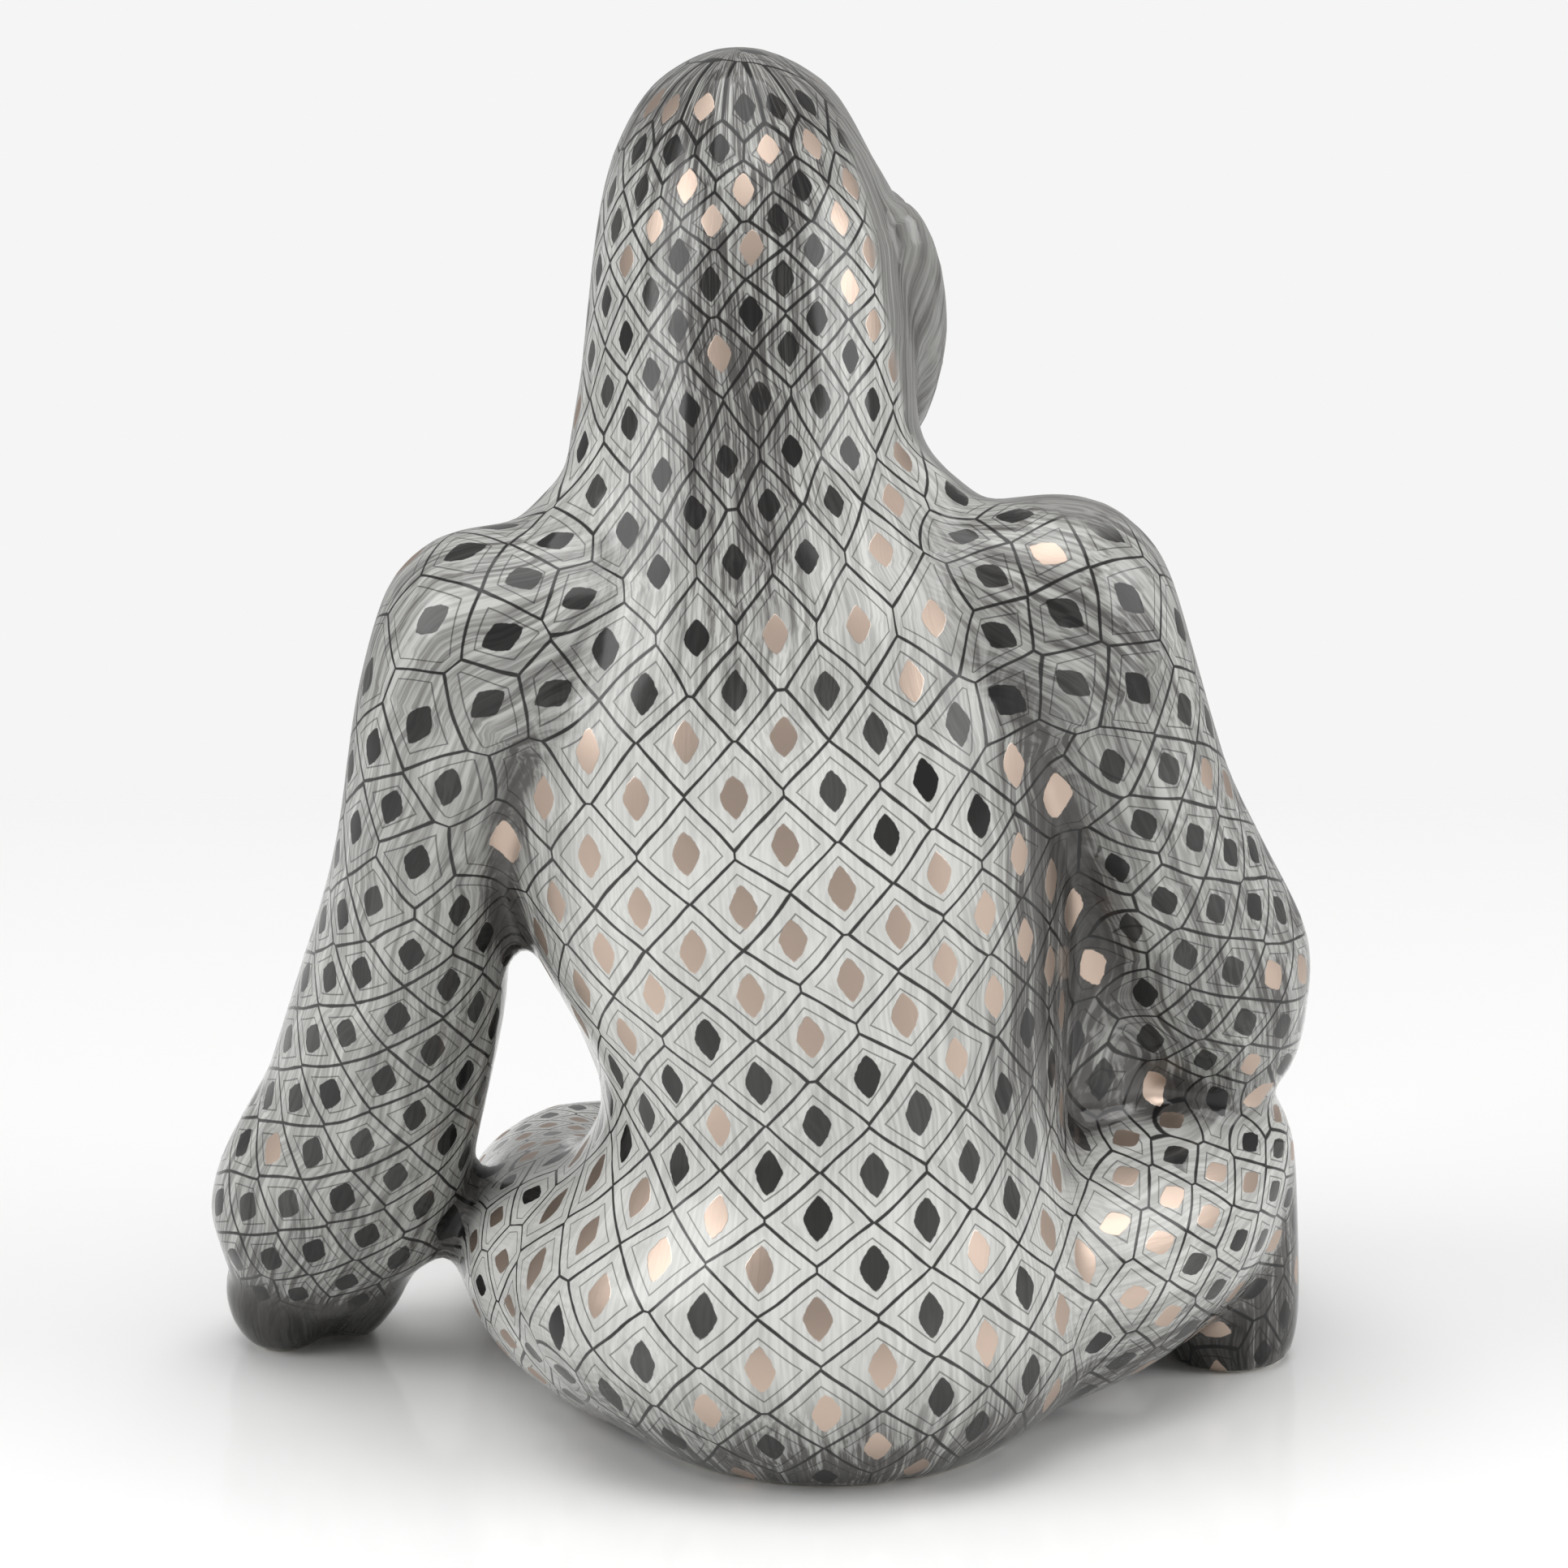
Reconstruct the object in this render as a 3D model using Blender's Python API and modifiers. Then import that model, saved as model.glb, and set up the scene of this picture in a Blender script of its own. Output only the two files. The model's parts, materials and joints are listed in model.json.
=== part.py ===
"""Seated gorilla figurine, cast in porcelain as one piece, with a flat unglazed base.

The animal sits on its rump and faces -Y, with its back to +Y and its left side at +X. Its left arm props it up
on the knuckles, its right elbow rests on the raised right knee, its right hand lies on the folded left leg, and
the head is turned to its right. Lengths are in metres, +Z is up, and the origin is the middle of the base.
"""

import math

import bmesh
import bpy
from mathutils import Matrix, Vector

MM = 0.001

# Overall size: the places and sizes drawn further down are for these three, and follow them
WIDTH = 91.9 * MM
LENGTH = 80.5 * MM
HEIGHT = 111.1 * MM
DRAWN_WIDTH, DRAWN_LENGTH, DRAWN_HEIGHT = 91.9, 80.5, 111.1
UNIT = HEIGHT / DRAWN_HEIGHT

# Fineness of the skin: the masses are run together first, then the hands, feet and face on them
BODY_VOXEL = 0.9 * MM
BODY_SMOOTHING = 12
DETAIL_VOXEL = 0.59 * MM
DETAIL_SMOOTHING = 3
BROAD_FACETS = 6600
FINE_FACETS = 4600

# Base: a foot ring is left standing round a shallow recess, and the casting's vent hole opens in it
RECESS_RADIUS = 11.0 * MM
RECESS_DEPTH = 0.8 * MM
RUMP_CENTRE = Vector((-0.06 * WIDTH, 0.18 * LENGTH, 0.0))
VENT_RADIUS = 2.1 * MM
VENT_DEPTH = 14.0 * MM

# Head: turned to the animal's right about the vertical
HEAD_TURN = math.radians(55)
HEAD_CENTRE = Vector((0.057 * WIDTH, -0.1 * LENGTH, 0.828 * HEIGHT))

# Porcelain
WHITE = (0.78, 0.81, 0.82, 1.0)
ROUGHNESS = 0.08


def catmull_rom(a, b, c, d, t):
    """The point at t on the smooth curve from b to c, for vectors or numbers."""
    return 0.5 * (2 * b + (c - a) * t + (2 * a - 5 * b + 4 * c - d) * t * t + (3 * b - 3 * c + d - a) * t**3)


def refined(stations, steps):
    """Stations of (centre, radius across, radius deep) with smooth ones added between them."""
    ends = [stations[0], *stations, stations[-1]]
    fine = []
    for i in range(1, len(ends) - 2):
        for k in range(steps):
            window = ends[i - 1 : i + 3]
            fine.append(tuple(catmull_rom(*(s[j] for s in window), k / steps) for j in range(3)))
    return [*fine, stations[-1]]


def loft(name, stations, across, steps=4, sides=40, level=False):
    """A closed solid through elliptical sections.

    Each station is (centre, radius across, radius deep). The first radius lies along the direction across.
    Sections stand square to the path, or lie level when level is set. Both ends are rounded off.
    """
    path = refined([(Vector(c), r, d) for c, r, d in stations], steps)
    mesh = bmesh.new()
    rings = []
    for i, (centre, radius, depth) in enumerate(path):
        before, after = path[max(i - 1, 0)][0], path[min(i + 1, len(path) - 1)][0]
        along = Vector((0, 0, 1)) if level else (after - before).normalized()
        side = (across - along * across.dot(along)).normalized()
        front = along.cross(side)
        ring = []
        for k in range(sides):
            angle = 2 * math.pi * k / sides
            ring.append(mesh.verts.new(centre + side * radius * math.cos(angle) + front * depth * math.sin(angle)))
        rings.append(ring)
    for low, high in zip(rings, rings[1:]):
        for k in range(sides):
            n = (k + 1) % sides
            mesh.faces.new((low[k], low[n], high[n], high[k]))
    mesh.faces.new(reversed(rings[0]))
    mesh.faces.new(rings[-1])
    bmesh.ops.recalc_face_normals(mesh, faces=mesh.faces)
    return finished(name, mesh)


def limb(name, stations, across=Vector((1, 0, 0)), **options):
    """A loft with a dome on each end, for an arm, a leg or a finger."""
    first, last = stations[0], stations[-1]
    start = (Vector(first[0]) - Vector(stations[1][0])).normalized()
    end = (Vector(last[0]) - Vector(stations[-2][0])).normalized()
    dome = [(0.5, 0.87), (0.85, 0.53), (0.98, 0.2)]
    head = [(Vector(first[0]) + start * min(first[1:]) * out, first[1] * k, first[2] * k) for out, k in dome]
    tail = [(Vector(last[0]) + end * min(last[1:]) * out, last[1] * k, last[2] * k) for out, k in dome]
    return loft(name, [*reversed(head), *stations, *tail], across, **options)


def blob(name, centre, radii, turn=Matrix.Identity(3)):
    """An ellipsoid with its three radii along the axes of turn."""
    mesh = bmesh.new()
    bmesh.ops.create_uvsphere(mesh, u_segments=28, v_segments=18, radius=1.0)
    bmesh.ops.transform(mesh, matrix=turn.to_4x4() @ Matrix.Diagonal((*radii, 1)), verts=mesh.verts)
    bmesh.ops.translate(mesh, vec=Vector(centre), verts=mesh.verts)
    return finished(name, mesh)


def finished(name, mesh):
    """The bmesh as an object in the scene."""
    data = bpy.data.meshes.new(name)
    mesh.to_mesh(data)
    mesh.free()
    piece = bpy.data.objects.new(name, data)
    bpy.context.scene.collection.objects.link(piece)
    return piece


def applied(piece):
    """The piece with its modifiers turned into mesh."""
    bpy.context.view_layer.update()
    graph = bpy.context.evaluated_depsgraph_get()
    data = bpy.data.meshes.new_from_object(piece.evaluated_get(graph))
    name = piece.name
    bpy.data.objects.remove(piece)
    whole = bpy.data.objects.new(name, data)
    bpy.context.scene.collection.objects.link(whole)
    return whole


def fused(name, pieces, voxel, smoothing):
    """Overlapping solids run together into one skin, with its creases softened."""
    mesh = bmesh.new()
    for piece in pieces:
        mesh.from_mesh(piece.data)
        bpy.data.objects.remove(piece)
    whole = finished(name, mesh)
    skin = whole.modifiers.new("skin", "REMESH")
    skin.mode = "VOXEL"
    skin.voxel_size = voxel
    soften = whole.modifiers.new("soften", "SMOOTH")
    soften.factor = 0.5
    soften.iterations = smoothing
    return applied(whole)


def mm(x, y, z):
    """A drawn place or size, in millimetres, as metres on the figure."""
    return (x * WIDTH / DRAWN_WIDTH, y * LENGTH / DRAWN_LENGTH, z * HEIGHT / DRAWN_HEIGHT)


def station(x, y, z, across, deep):
    """A section of a limb: its drawn middle and its two drawn radii."""
    return (Vector(mm(x, y, z)), across * UNIT, deep * UNIT)


def level(z, x, rear, across, deep):
    """A level section of the trunk, given where its rear edge is."""
    return (Vector(mm(x, rear - deep, z)), across * UNIT, deep * UNIT)


def trunk():
    """Rump, back, shoulders, neck and crown in one column of level sections."""
    sections = [
        level(-4.0, -1.5, 20.0, 9.0, 12.0),
        level(0.0, -1.5, 24.0, 15.5, 17.0),
        level(3.0, -1.2, 27.5, 19.8, 20.0),
        level(7.0, -0.4, 30.5, 23.0, 23.0),
        level(12.0, 0.6, 32.0, 24.6, 24.8),
        level(17.0, 0.2, 31.5, 23.4, 24.5),
        level(22.0, -1.0, 29.8, 20.4, 23.0),
        level(27.0, -1.8, 28.2, 18.8, 21.5),
        level(33.0, -1.2, 27.4, 19.6, 21.0),
        level(41.0, 1.0, 27.0, 21.8, 21.0),
        level(50.0, 2.2, 26.2, 23.4, 20.5),
        level(59.0, 2.6, 24.4, 24.0, 19.5),
        level(66.0, 2.6, 21.4, 23.0, 17.5),
        level(71.5, 2.6, 18.4, 19.6, 16.0),
        level(76.0, 3.6, 15.2, 16.2, 14.8),
        level(80.4, 5.4, 12.4, 14.3, 14.2),
        level(85.0, 5.0, 10.2, 13.7, 14.6),
        level(90.0, 4.9, 8.4, 13.4, 15.0),
        level(96.0, 4.9, 6.2, 12.7, 14.8),
        level(100.5, 5.1, 3.8, 11.6, 13.4),
        level(104.0, 5.4, 1.4, 10.0, 11.8),
        level(107.3, 5.7, -1.2, 7.8, 9.4),
        level(109.5, 5.8, -3.4, 5.0, 6.4),
        level(111.1, 5.9, -6.4, 1.6, 2.6),
    ]
    return loft("trunk", sections, Vector((1, 0, 0)), steps=3, sides=56, level=True)


def shoulders():
    """Deltoids, neck muscles, chest and belly, and the flesh that joins the arms to the sides."""
    upright = Vector((0, 0, 1))
    return [
        limb("left_shoulder", [station(15, 6, 66, 9, 9), station(24.8, 8, 64.7, 10.8, 10)], upright),
        limb("right_shoulder", [station(-11, 6, 67, 9, 9), station(-19.6, 7.5, 67.6, 10.4, 10)], upright),
        limb("left_neck", [station(8, 1, 78, 8, 8), station(17, 4, 71, 7.5, 8)], upright),
        limb("right_neck", [station(0, 1, 77.5, 7.6, 8), station(-12, 5, 70.0, 6.2, 8)], upright),
        limb("left_armpit", [station(24, 5, 62, 5, 7), station(24.4, 3.5, 50, 4, 6), station(24.6, 2.5, 42.5, 3.4, 5)]),
        limb("right_armpit", [station(-20, 5, 62, 5, 7), station(-20.5, 2, 46, 5, 7), station(-21.5, -2, 30, 6, 7.5),
                              station(-23, -4, 22, 6, 7)]),
        blob("chest", mm(2.2, -7.6, 60), mm(20, 9.6, 13.5)),
        blob("throat", mm(1.3, -7.5, 76), mm(10.4, 9, 11)),
        blob("belly", mm(-1.0, -8.5, 31), mm(17, 12.5, 18)),
    ]


def left_arm():
    """The straight arm, thick at the wrist, down to the ground."""
    return limb(
        "left_arm",
        [
            station(25.6, 8.5, 66, 9.6, 9.6),
            station(28.6, 8, 59.5, 8.3, 9.6),
            station(31.0, 6.5, 50, 7.2, 9.2),
            station(32.1, 4, 43, 7.6, 9.4),
            station(33.2, 1, 36, 8.6, 9.6),
            station(34.9, -2, 29, 9.0, 9.8),
            station(36.6, -4.5, 22.5, 9.3, 9.8),
            station(38.9, -7, 16.5, 10.2, 9.4),
            station(40.8, -8.5, 12.2, 10.0, 8.4),
            station(41.2, -9.5, 9.8, 8.8, 7.0),
        ],
    )


def right_arm():
    """Upper arm down to the elbow on the knee, then the forearm across the belly."""
    upper = limb(
        "right_upper_arm",
        [
            station(-21.0, 7.5, 66, 9.0, 9.4),
            station(-24.0, 6, 58.5, 8.3, 9.4),
            station(-26.8, 3.5, 51, 7.7, 9.2),
            station(-29.4, -0.5, 43, 8.7, 9.6),
            station(-31.3, -4.5, 35.5, 10.3, 9.8),
            station(-32.8, -7.5, 30.2, 8.8, 8.4),
        ],
    )
    fore = limb(
        "right_forearm",
        [
            station(-33.0, -8.5, 31, 8.6, 8.4),
            station(-30, -16, 31.6, 9.0, 8.8),
            station(-22, -22.5, 30.2, 8.4, 8.2),
            station(-13, -26, 27, 7.4, 6.8),
            station(-7, -27.5, 24, 6.6, 5.6),
        ],
        Vector((0, 0, 1)),
    )
    return [upper, fore]


def left_leg():
    """The folded leg: the knee lies low and out, and the shin comes back in front of the belly."""
    thigh = limb(
        "left_thigh",
        [
            station(12, 9, 11.6, 12.0, 11.8),
            station(17.0, 2, 10.8, 11.0, 10.6),
            station(19.8, -7, 9.8, 9.8, 9.6),
            station(20.8, -16, 9.0, 9.0, 8.7),
            station(21.0, -24, 8.3, 8.8, 8.1),
        ],
    )
    shin = limb(
        "left_shin",
        [
            station(20.6, -25.5, 8.0, 8.6, 7.8),
            station(16.0, -33, 6.8, 7.8, 6.7),
            station(8, -37, 6.2, 6.8, 6.0),
            station(1, -38, 5.6, 6.0, 5.6),
        ],
        Vector((0, 0, 1)),
    )
    return [thigh, shin]


def right_leg():
    """The leg drawn up, with the knee under the elbow and the sole on the ground."""
    thigh = limb(
        "right_thigh",
        [
            station(-12, 8, 12.5, 12.2, 12.2),
            station(-20, 4, 12.8, 11.8, 11.8),
            station(-27.5, -2, 14.4, 10.6, 10.6),
            station(-32.0, -7.5, 17.0, 8.7, 8.8),
        ],
        Vector((0, 0, 1)),
    )
    shin = limb(
        "right_shin",
        [
            station(-33.2, -9.0, 17.5, 7.7, 8.8),
            station(-34.8, -9.0, 9, 6.5, 7.6),
            station(-35.2, -9.0, 3, 6.2, 7.2),
        ],
    )
    return [thigh, shin]


def toes(name, tips):
    """Rounded toes or fingers: each is a name and its stations."""
    return [limb(f"{name}_{i}", stations, steps=3, sides=20) for i, stations in enumerate(tips)]


def left_fist():
    """The hand on its knuckles: heel and thumb with a hollow between at the rear, fingers curled at the front."""
    heel = blob("left_heel", mm(44.6, -11.6, 4.8), mm(4.9, 5.8, 5.6))
    thumb = limb(
        "left_thumb",
        [station(38.4, -9.5, 10.4, 3.4, 4.6), station(36.8, -10.5, 7.2, 3.2, 4.4), station(38.4, -11.8, 3.6, 2.9, 3.6)],
    )
    fingers = []
    for x in (46.4, 43.6, 40.8, 38.0):
        fingers.append(
            [
                station(x, -13.6, 10.2, 1.45, 2.0),
                station(x, -17.0, 6.4, 1.5, 2.1),
                station(x, -16.8, 2.4, 1.45, 2.1),
                station(x, -12.6, 1.8, 1.45, 2.0),
            ]
        )
    return [heel, thumb, *toes("left_finger", fingers)]


def right_hand():
    """The relaxed hand at the end of the forearm, its fingers laid on the left shin."""
    knuckles = Vector((0.4, 0.9, 0)).normalized()
    back = limb(
        "right_back",
        [station(-7, -27.5, 23.6, 5.6, 5.2), station(-1.5, -29.4, 20.2, 6.2, 3.8), station(3, -31, 16.8, 6.0, 3.2)],
        knuckles,
    )
    fingers = []
    for offset, reach, droop in ((-4.6, 0.86, 1.8), (-1.5, 1.0, 2.2), (1.6, 0.98, 3.6), (4.6, 0.84, 5.4)):
        row = knuckles * offset * UNIT
        fingers.append(
            [
                (Vector(mm(1.6, -30.6, 17.2)) + row, 1.75 * UNIT, 1.9 * UNIT),
                (Vector(mm(2.6 + 4.4 * reach, -31 - 1.7 * reach, 15.8)) + row, 1.6 * UNIT, 1.6 * UNIT),
                (Vector(mm(2.6 + 8.2 * reach, -31 - 3.0 * reach, 15.8 - droop)) + row, 1.4 * UNIT, 1.4 * UNIT),
            ]
        )
    thumb = [station(-4.6, -25.4, 22, 2.2, 2.2), station(-0.6, -23.8, 18.4, 1.8, 1.8), station(2.6, -24.2, 15, 1.6, 1.6)]
    return [back, *toes("right_finger", [*fingers, thumb])]


def foot(name, heel, heading, spread):
    """A broad flat foot from the heel towards heading, with the great toe set apart on the side of spread."""
    ahead = Vector((math.sin(heading), -math.cos(heading), 0))
    inside = Vector((math.cos(heading), math.sin(heading), 0)) * spread
    heel = Vector(mm(*heel))

    def place(forward, inward, up):
        return heel + (ahead * forward + inside * inward) * UNIT + Vector((0, 0, up * UNIT))

    sole = limb(
        f"{name}_sole",
        [
            (place(-1.0, 0, 5.0), 6.2 * UNIT, 5.2 * UNIT),
            (place(6.0, 0, 5.4), 6.2 * UNIT, 5.4 * UNIT),
            (place(12.0, -0.2, 4.4), 6.8 * UNIT, 4.4 * UNIT),
            (place(17.0, -0.4, 3.4), 7.0 * UNIT, 3.4 * UNIT),
        ],
        inside,
    )
    digits = []
    for inward, length in ((3.8, 6.8), (0.8, 7.2), (-2.2, 6.6), (-5.0, 5.4)):
        digits.append(
            [
                (place(16.5, inward * 0.92, 3.2), 2.0 * UNIT, 2.4 * UNIT),
                (place(16.5 + length * 0.6, inward * 1.02, 3.0), 1.9 * UNIT, 2.1 * UNIT),
                (place(16.5 + length, inward * 1.04, 2.0), 1.8 * UNIT, 1.8 * UNIT),
            ]
        )
    great = [
        (place(8.5, 4.6, 3.8), 3.2 * UNIT, 3.2 * UNIT),
        (place(13.5, 7.8, 3.2), 2.7 * UNIT, 2.8 * UNIT),
        (place(17.5, 9.2, 2.4), 2.4 * UNIT, 2.3 * UNIT),
    ]
    return [sole, *toes(f"{name}_toe", [*digits, great])]


def head_point(side, forward, up):
    """A point on the turned head: to the animal's left, forward and up from the head's centre."""
    left = Vector((math.cos(HEAD_TURN), -math.sin(HEAD_TURN), 0))
    ahead = Vector((-math.sin(HEAD_TURN), -math.cos(HEAD_TURN), 0))
    return HEAD_CENTRE + (left * side + ahead * forward) * UNIT + Vector((0, 0, up * UNIT))


def head_blob(name, side, forward, up, *radii):
    """An ellipsoid on the head, in the head's own directions."""
    return blob(name, head_point(side, forward, up), mm(*radii), Matrix.Rotation(-HEAD_TURN, 3, "Z"))


def head_masses():
    """The front of the skull, the jaw and the broad muzzle."""
    return [
        head_blob("skull_front", 0, 4.0, 3.0, 11.2, 9.0, 12.0),
        head_blob("jaw", 0, 6.5, -5.0, 10.4, 8.6, 10.0),
        head_blob("muzzle", 0, 12.2, -7.6, 7.2, 6.0, 5.2),
        head_blob("chin", 0, 11.0, -11.4, 6.0, 5.4, 3.8),
    ]


def face():
    """Brow ridge, deep eyes, flat wide nose, long upper lip and full cheeks."""
    brow = [
        (head_point(s, 13.5 - 0.1 * s * s, 4.4 - 0.035 * s * s), (2.2 - 0.08 * abs(s)) * UNIT, (2.4 - 0.1 * abs(s)) * UNIT)
        for s in range(-8, 9, 2)
    ]
    bridge = [
        (head_point(0, 12.6, 4.0), 1.7 * UNIT, 1.6 * UNIT),
        (head_point(0, 14.0, 0.4), 1.8 * UNIT, 1.6 * UNIT),
        (head_point(0, 15.6, -3.2), 2.6 * UNIT, 1.9 * UNIT),
    ]
    pieces = [
        limb("brow", brow, Vector((0, 0, 1)), sides=24),
        limb("bridge", bridge, sides=24),
        head_blob("upper_lip", 0, 13.9, -7.6, 6.6, 4.9, 2.7),
        head_blob("lower_lip", 0, 13.1, -12.0, 5.6, 4.4, 1.9),
    ]
    for s in (-1, 1):
        rim = [
            (head_point(8.1 * s, 9.8, 1.6), 2.2 * UNIT, 2.2 * UNIT),
            (head_point(8.2 * s, 10.9, -1.0), 2.6 * UNIT, 2.6 * UNIT),
            (head_point(7.4 * s, 10.7, -5.0), 2.9 * UNIT, 2.9 * UNIT),
            (head_point(5.4 * s, 10.8, -9.4), 3.0 * UNIT, 3.0 * UNIT),
        ]
        pieces += [
            limb(f"rim_{s}", rim, sides=24),
            head_blob(f"cheek_{s}", 4.9 * s, 10.6, -3.6, 3.4, 3.4, 3.9),
            head_blob(f"nostril_{s}", 2.5 * s, 15.4, -3.7, 2.3, 2.2, 1.9),
            head_blob(f"eye_{s}", 3.8 * s, 12.9, 1.5, 1.7, 1.5, 1.3),
            head_blob(f"lower_lid_{s}", 4.0 * s, 12.4, -0.3, 2.5, 1.5, 0.8),
        ]
    return pieces


def fine_places():
    """Where the skin keeps smaller facets, as (middle, reach): the face, the hands and the toes."""
    return [
        (head_point(0, 13, -3.5), 12 * UNIT),
        (Vector(mm(42, -15, 5)), 9 * UNIT),
        (Vector(mm(5, -31, 16)), 11 * UNIT),
        (Vector(mm(-20, -42, 3)), 9 * UNIT),
        (Vector(mm(-33, -29, 3)), 9 * UNIT),
    ]


def gorilla():
    """The whole animal as one skin of facets, before its base is cut."""
    masses = [trunk(), *shoulders(), left_arm(), *right_arm(), *left_leg(), *right_leg(), *head_masses()]
    body = fused("masses", masses, BODY_VOXEL, BODY_SMOOTHING)
    details = [*left_fist(), *right_hand(), *face()]
    details += foot("left_foot", (2.0, -38.0, 0.0), math.radians(-80), -1)
    details += foot("right_foot", (-34.8, -9.0, 0.0), math.radians(3), 1)
    body = fused("gorilla", [body, *details], DETAIL_VOXEL, DETAIL_SMOOTHING)
    return thinned(body)


def thinned(body):
    """The skin with few large facets on the masses and many small ones on the face, hands and toes."""
    fine = body.vertex_groups.new(name="fine")
    for vertex in body.data.vertices:
        if any((vertex.co - centre).length < reach for centre, reach in fine_places()):
            fine.add([vertex.index], 1.0, "REPLACE")
    inside = [len(vertex.groups) > 0 for vertex in body.data.vertices]
    fine_start = 2 * sum(all(inside[i] for i in face.vertices) for face in body.data.polygons)
    before = 2 * len(body.data.polygons)
    for spare_fine, after in ((True, BROAD_FACETS + fine_start), (False, BROAD_FACETS + FINE_FACETS)):
        facets = body.modifiers.new("facets", "DECIMATE")
        facets.ratio = after / before
        facets.vertex_group = fine.name
        facets.invert_vertex_group = spare_fine
        facets.use_collapse_triangulate = True
        before = after
    return applied(body)


def block_below_ground():
    """Everything under the surface the animal sits on."""
    size = 0.3
    mesh = bmesh.new()
    bmesh.ops.create_cube(mesh, size=size)
    bmesh.ops.translate(mesh, vec=(0, 0, -size / 2), verts=mesh.verts)
    return finished("ground", mesh)


def drill(name, radius, depth):
    """An upright cylinder that reaches depth into the base, in the middle of the rump."""
    mesh = bmesh.new()
    length = 2 * depth
    bmesh.ops.create_cone(mesh, cap_ends=True, segments=40, radius1=radius, radius2=radius, depth=length)
    bmesh.ops.translate(mesh, vec=RUMP_CENTRE, verts=mesh.verts)
    return finished(name, mesh)


def subtract(body, cutter, cutters):
    """Cut the cutter out of the body, and put it away in the collection of cutters."""
    cut = body.modifiers.new(cutter.name, "BOOLEAN")
    cut.operation = "DIFFERENCE"
    cut.solver = "EXACT"
    cut.object = cutter
    cutter.hide_render = True
    cutter.display_type = "WIRE"
    move_to(cutter, cutters)


def move_to(piece, collection):
    """Keep the piece in this collection alone."""
    for old in list(piece.users_collection):
        old.objects.unlink(piece)
    collection.objects.link(piece)


def centred(body):
    """Move the mesh so that the middle of its footprint box is on the origin, without lifting it."""
    corners = [Vector(corner) for corner in body.bound_box]
    middle = (corners[0] + corners[6]) / 2
    body.data.transform(Matrix.Translation((-middle.x, -middle.y, 0)))
    return middle


def porcelain():
    """White glazed porcelain."""
    material = bpy.data.materials.new("glazed porcelain")
    material.use_nodes = True
    shader = material.node_tree.nodes["Principled BSDF"]
    shader.inputs["Base Color"].default_value = WHITE
    shader.inputs["Roughness"].default_value = ROUGHNESS
    shader.inputs["Metallic"].default_value = 0.0
    material.diffuse_color = WHITE
    return material


def collection(name):
    """A new collection in the scene."""
    group = bpy.data.collections.new(name)
    bpy.context.scene.collection.children.link(group)
    return group


def main():
    """Clear the scene, shape the animal, then level, hollow and vent its base."""
    for old in list(bpy.data.objects):
        bpy.data.objects.remove(old)
    figurine = collection("gorilla figurine")
    cutters = collection("cutters")
    body = gorilla()
    body.name = "gorilla"
    centred(body)
    subtract(body, block_below_ground(), cutters)
    subtract(body, drill("base recess", RECESS_RADIUS, RECESS_DEPTH), cutters)
    subtract(body, drill("vent hole", VENT_RADIUS, VENT_DEPTH), cutters)
    body.data.materials.clear()
    body.data.materials.append(porcelain())
    body.data.shade_smooth()
    move_to(body, figurine)


main()
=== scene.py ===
"""Seated porcelain gorilla, seen from behind: its painted and glazed skin, the floor, lamps and camera.

Lengths are in millimetres where a name ends in _mm and in metres elsewhere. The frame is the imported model's:
+Z up, the animal faces -Y, its left side is at +X, and the origin is the middle of the footprint.
"""

import json
import logging
import math
from dataclasses import dataclass, field
from enum import Enum
from typing import Any, Iterable, Optional, Sequence, Union

import bpy
import numpy as np
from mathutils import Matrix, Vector, kdtree, noise

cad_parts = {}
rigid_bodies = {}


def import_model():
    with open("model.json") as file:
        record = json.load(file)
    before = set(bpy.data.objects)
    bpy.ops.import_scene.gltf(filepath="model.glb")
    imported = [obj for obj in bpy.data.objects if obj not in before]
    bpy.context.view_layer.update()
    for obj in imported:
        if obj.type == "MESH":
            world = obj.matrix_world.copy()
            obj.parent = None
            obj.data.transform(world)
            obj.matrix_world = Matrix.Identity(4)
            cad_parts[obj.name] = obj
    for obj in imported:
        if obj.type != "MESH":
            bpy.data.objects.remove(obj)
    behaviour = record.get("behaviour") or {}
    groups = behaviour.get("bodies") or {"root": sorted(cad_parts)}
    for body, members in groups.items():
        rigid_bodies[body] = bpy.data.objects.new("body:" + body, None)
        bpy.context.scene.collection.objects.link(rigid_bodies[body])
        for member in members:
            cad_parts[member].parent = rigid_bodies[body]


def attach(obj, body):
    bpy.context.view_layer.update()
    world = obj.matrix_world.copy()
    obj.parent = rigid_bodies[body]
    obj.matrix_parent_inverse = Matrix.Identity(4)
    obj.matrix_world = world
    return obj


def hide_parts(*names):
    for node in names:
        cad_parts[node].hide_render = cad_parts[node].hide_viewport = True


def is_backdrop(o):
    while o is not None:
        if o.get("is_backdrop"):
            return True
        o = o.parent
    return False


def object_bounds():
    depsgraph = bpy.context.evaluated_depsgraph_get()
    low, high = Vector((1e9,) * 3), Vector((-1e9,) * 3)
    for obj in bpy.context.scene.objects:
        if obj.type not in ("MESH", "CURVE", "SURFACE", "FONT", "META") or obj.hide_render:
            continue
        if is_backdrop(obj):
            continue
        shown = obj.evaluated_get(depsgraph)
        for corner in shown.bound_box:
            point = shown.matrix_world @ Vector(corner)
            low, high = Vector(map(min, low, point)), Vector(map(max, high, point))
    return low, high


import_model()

CAD_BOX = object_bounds()
LOG = logging.getLogger("gorilla")
MM = 0.001
Number = Union[int, float, "Value"]
Colour = tuple[float, float, float, float]
Pair = tuple[float, float]
Triple = tuple[float, float, float]


# Shader maths


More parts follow.
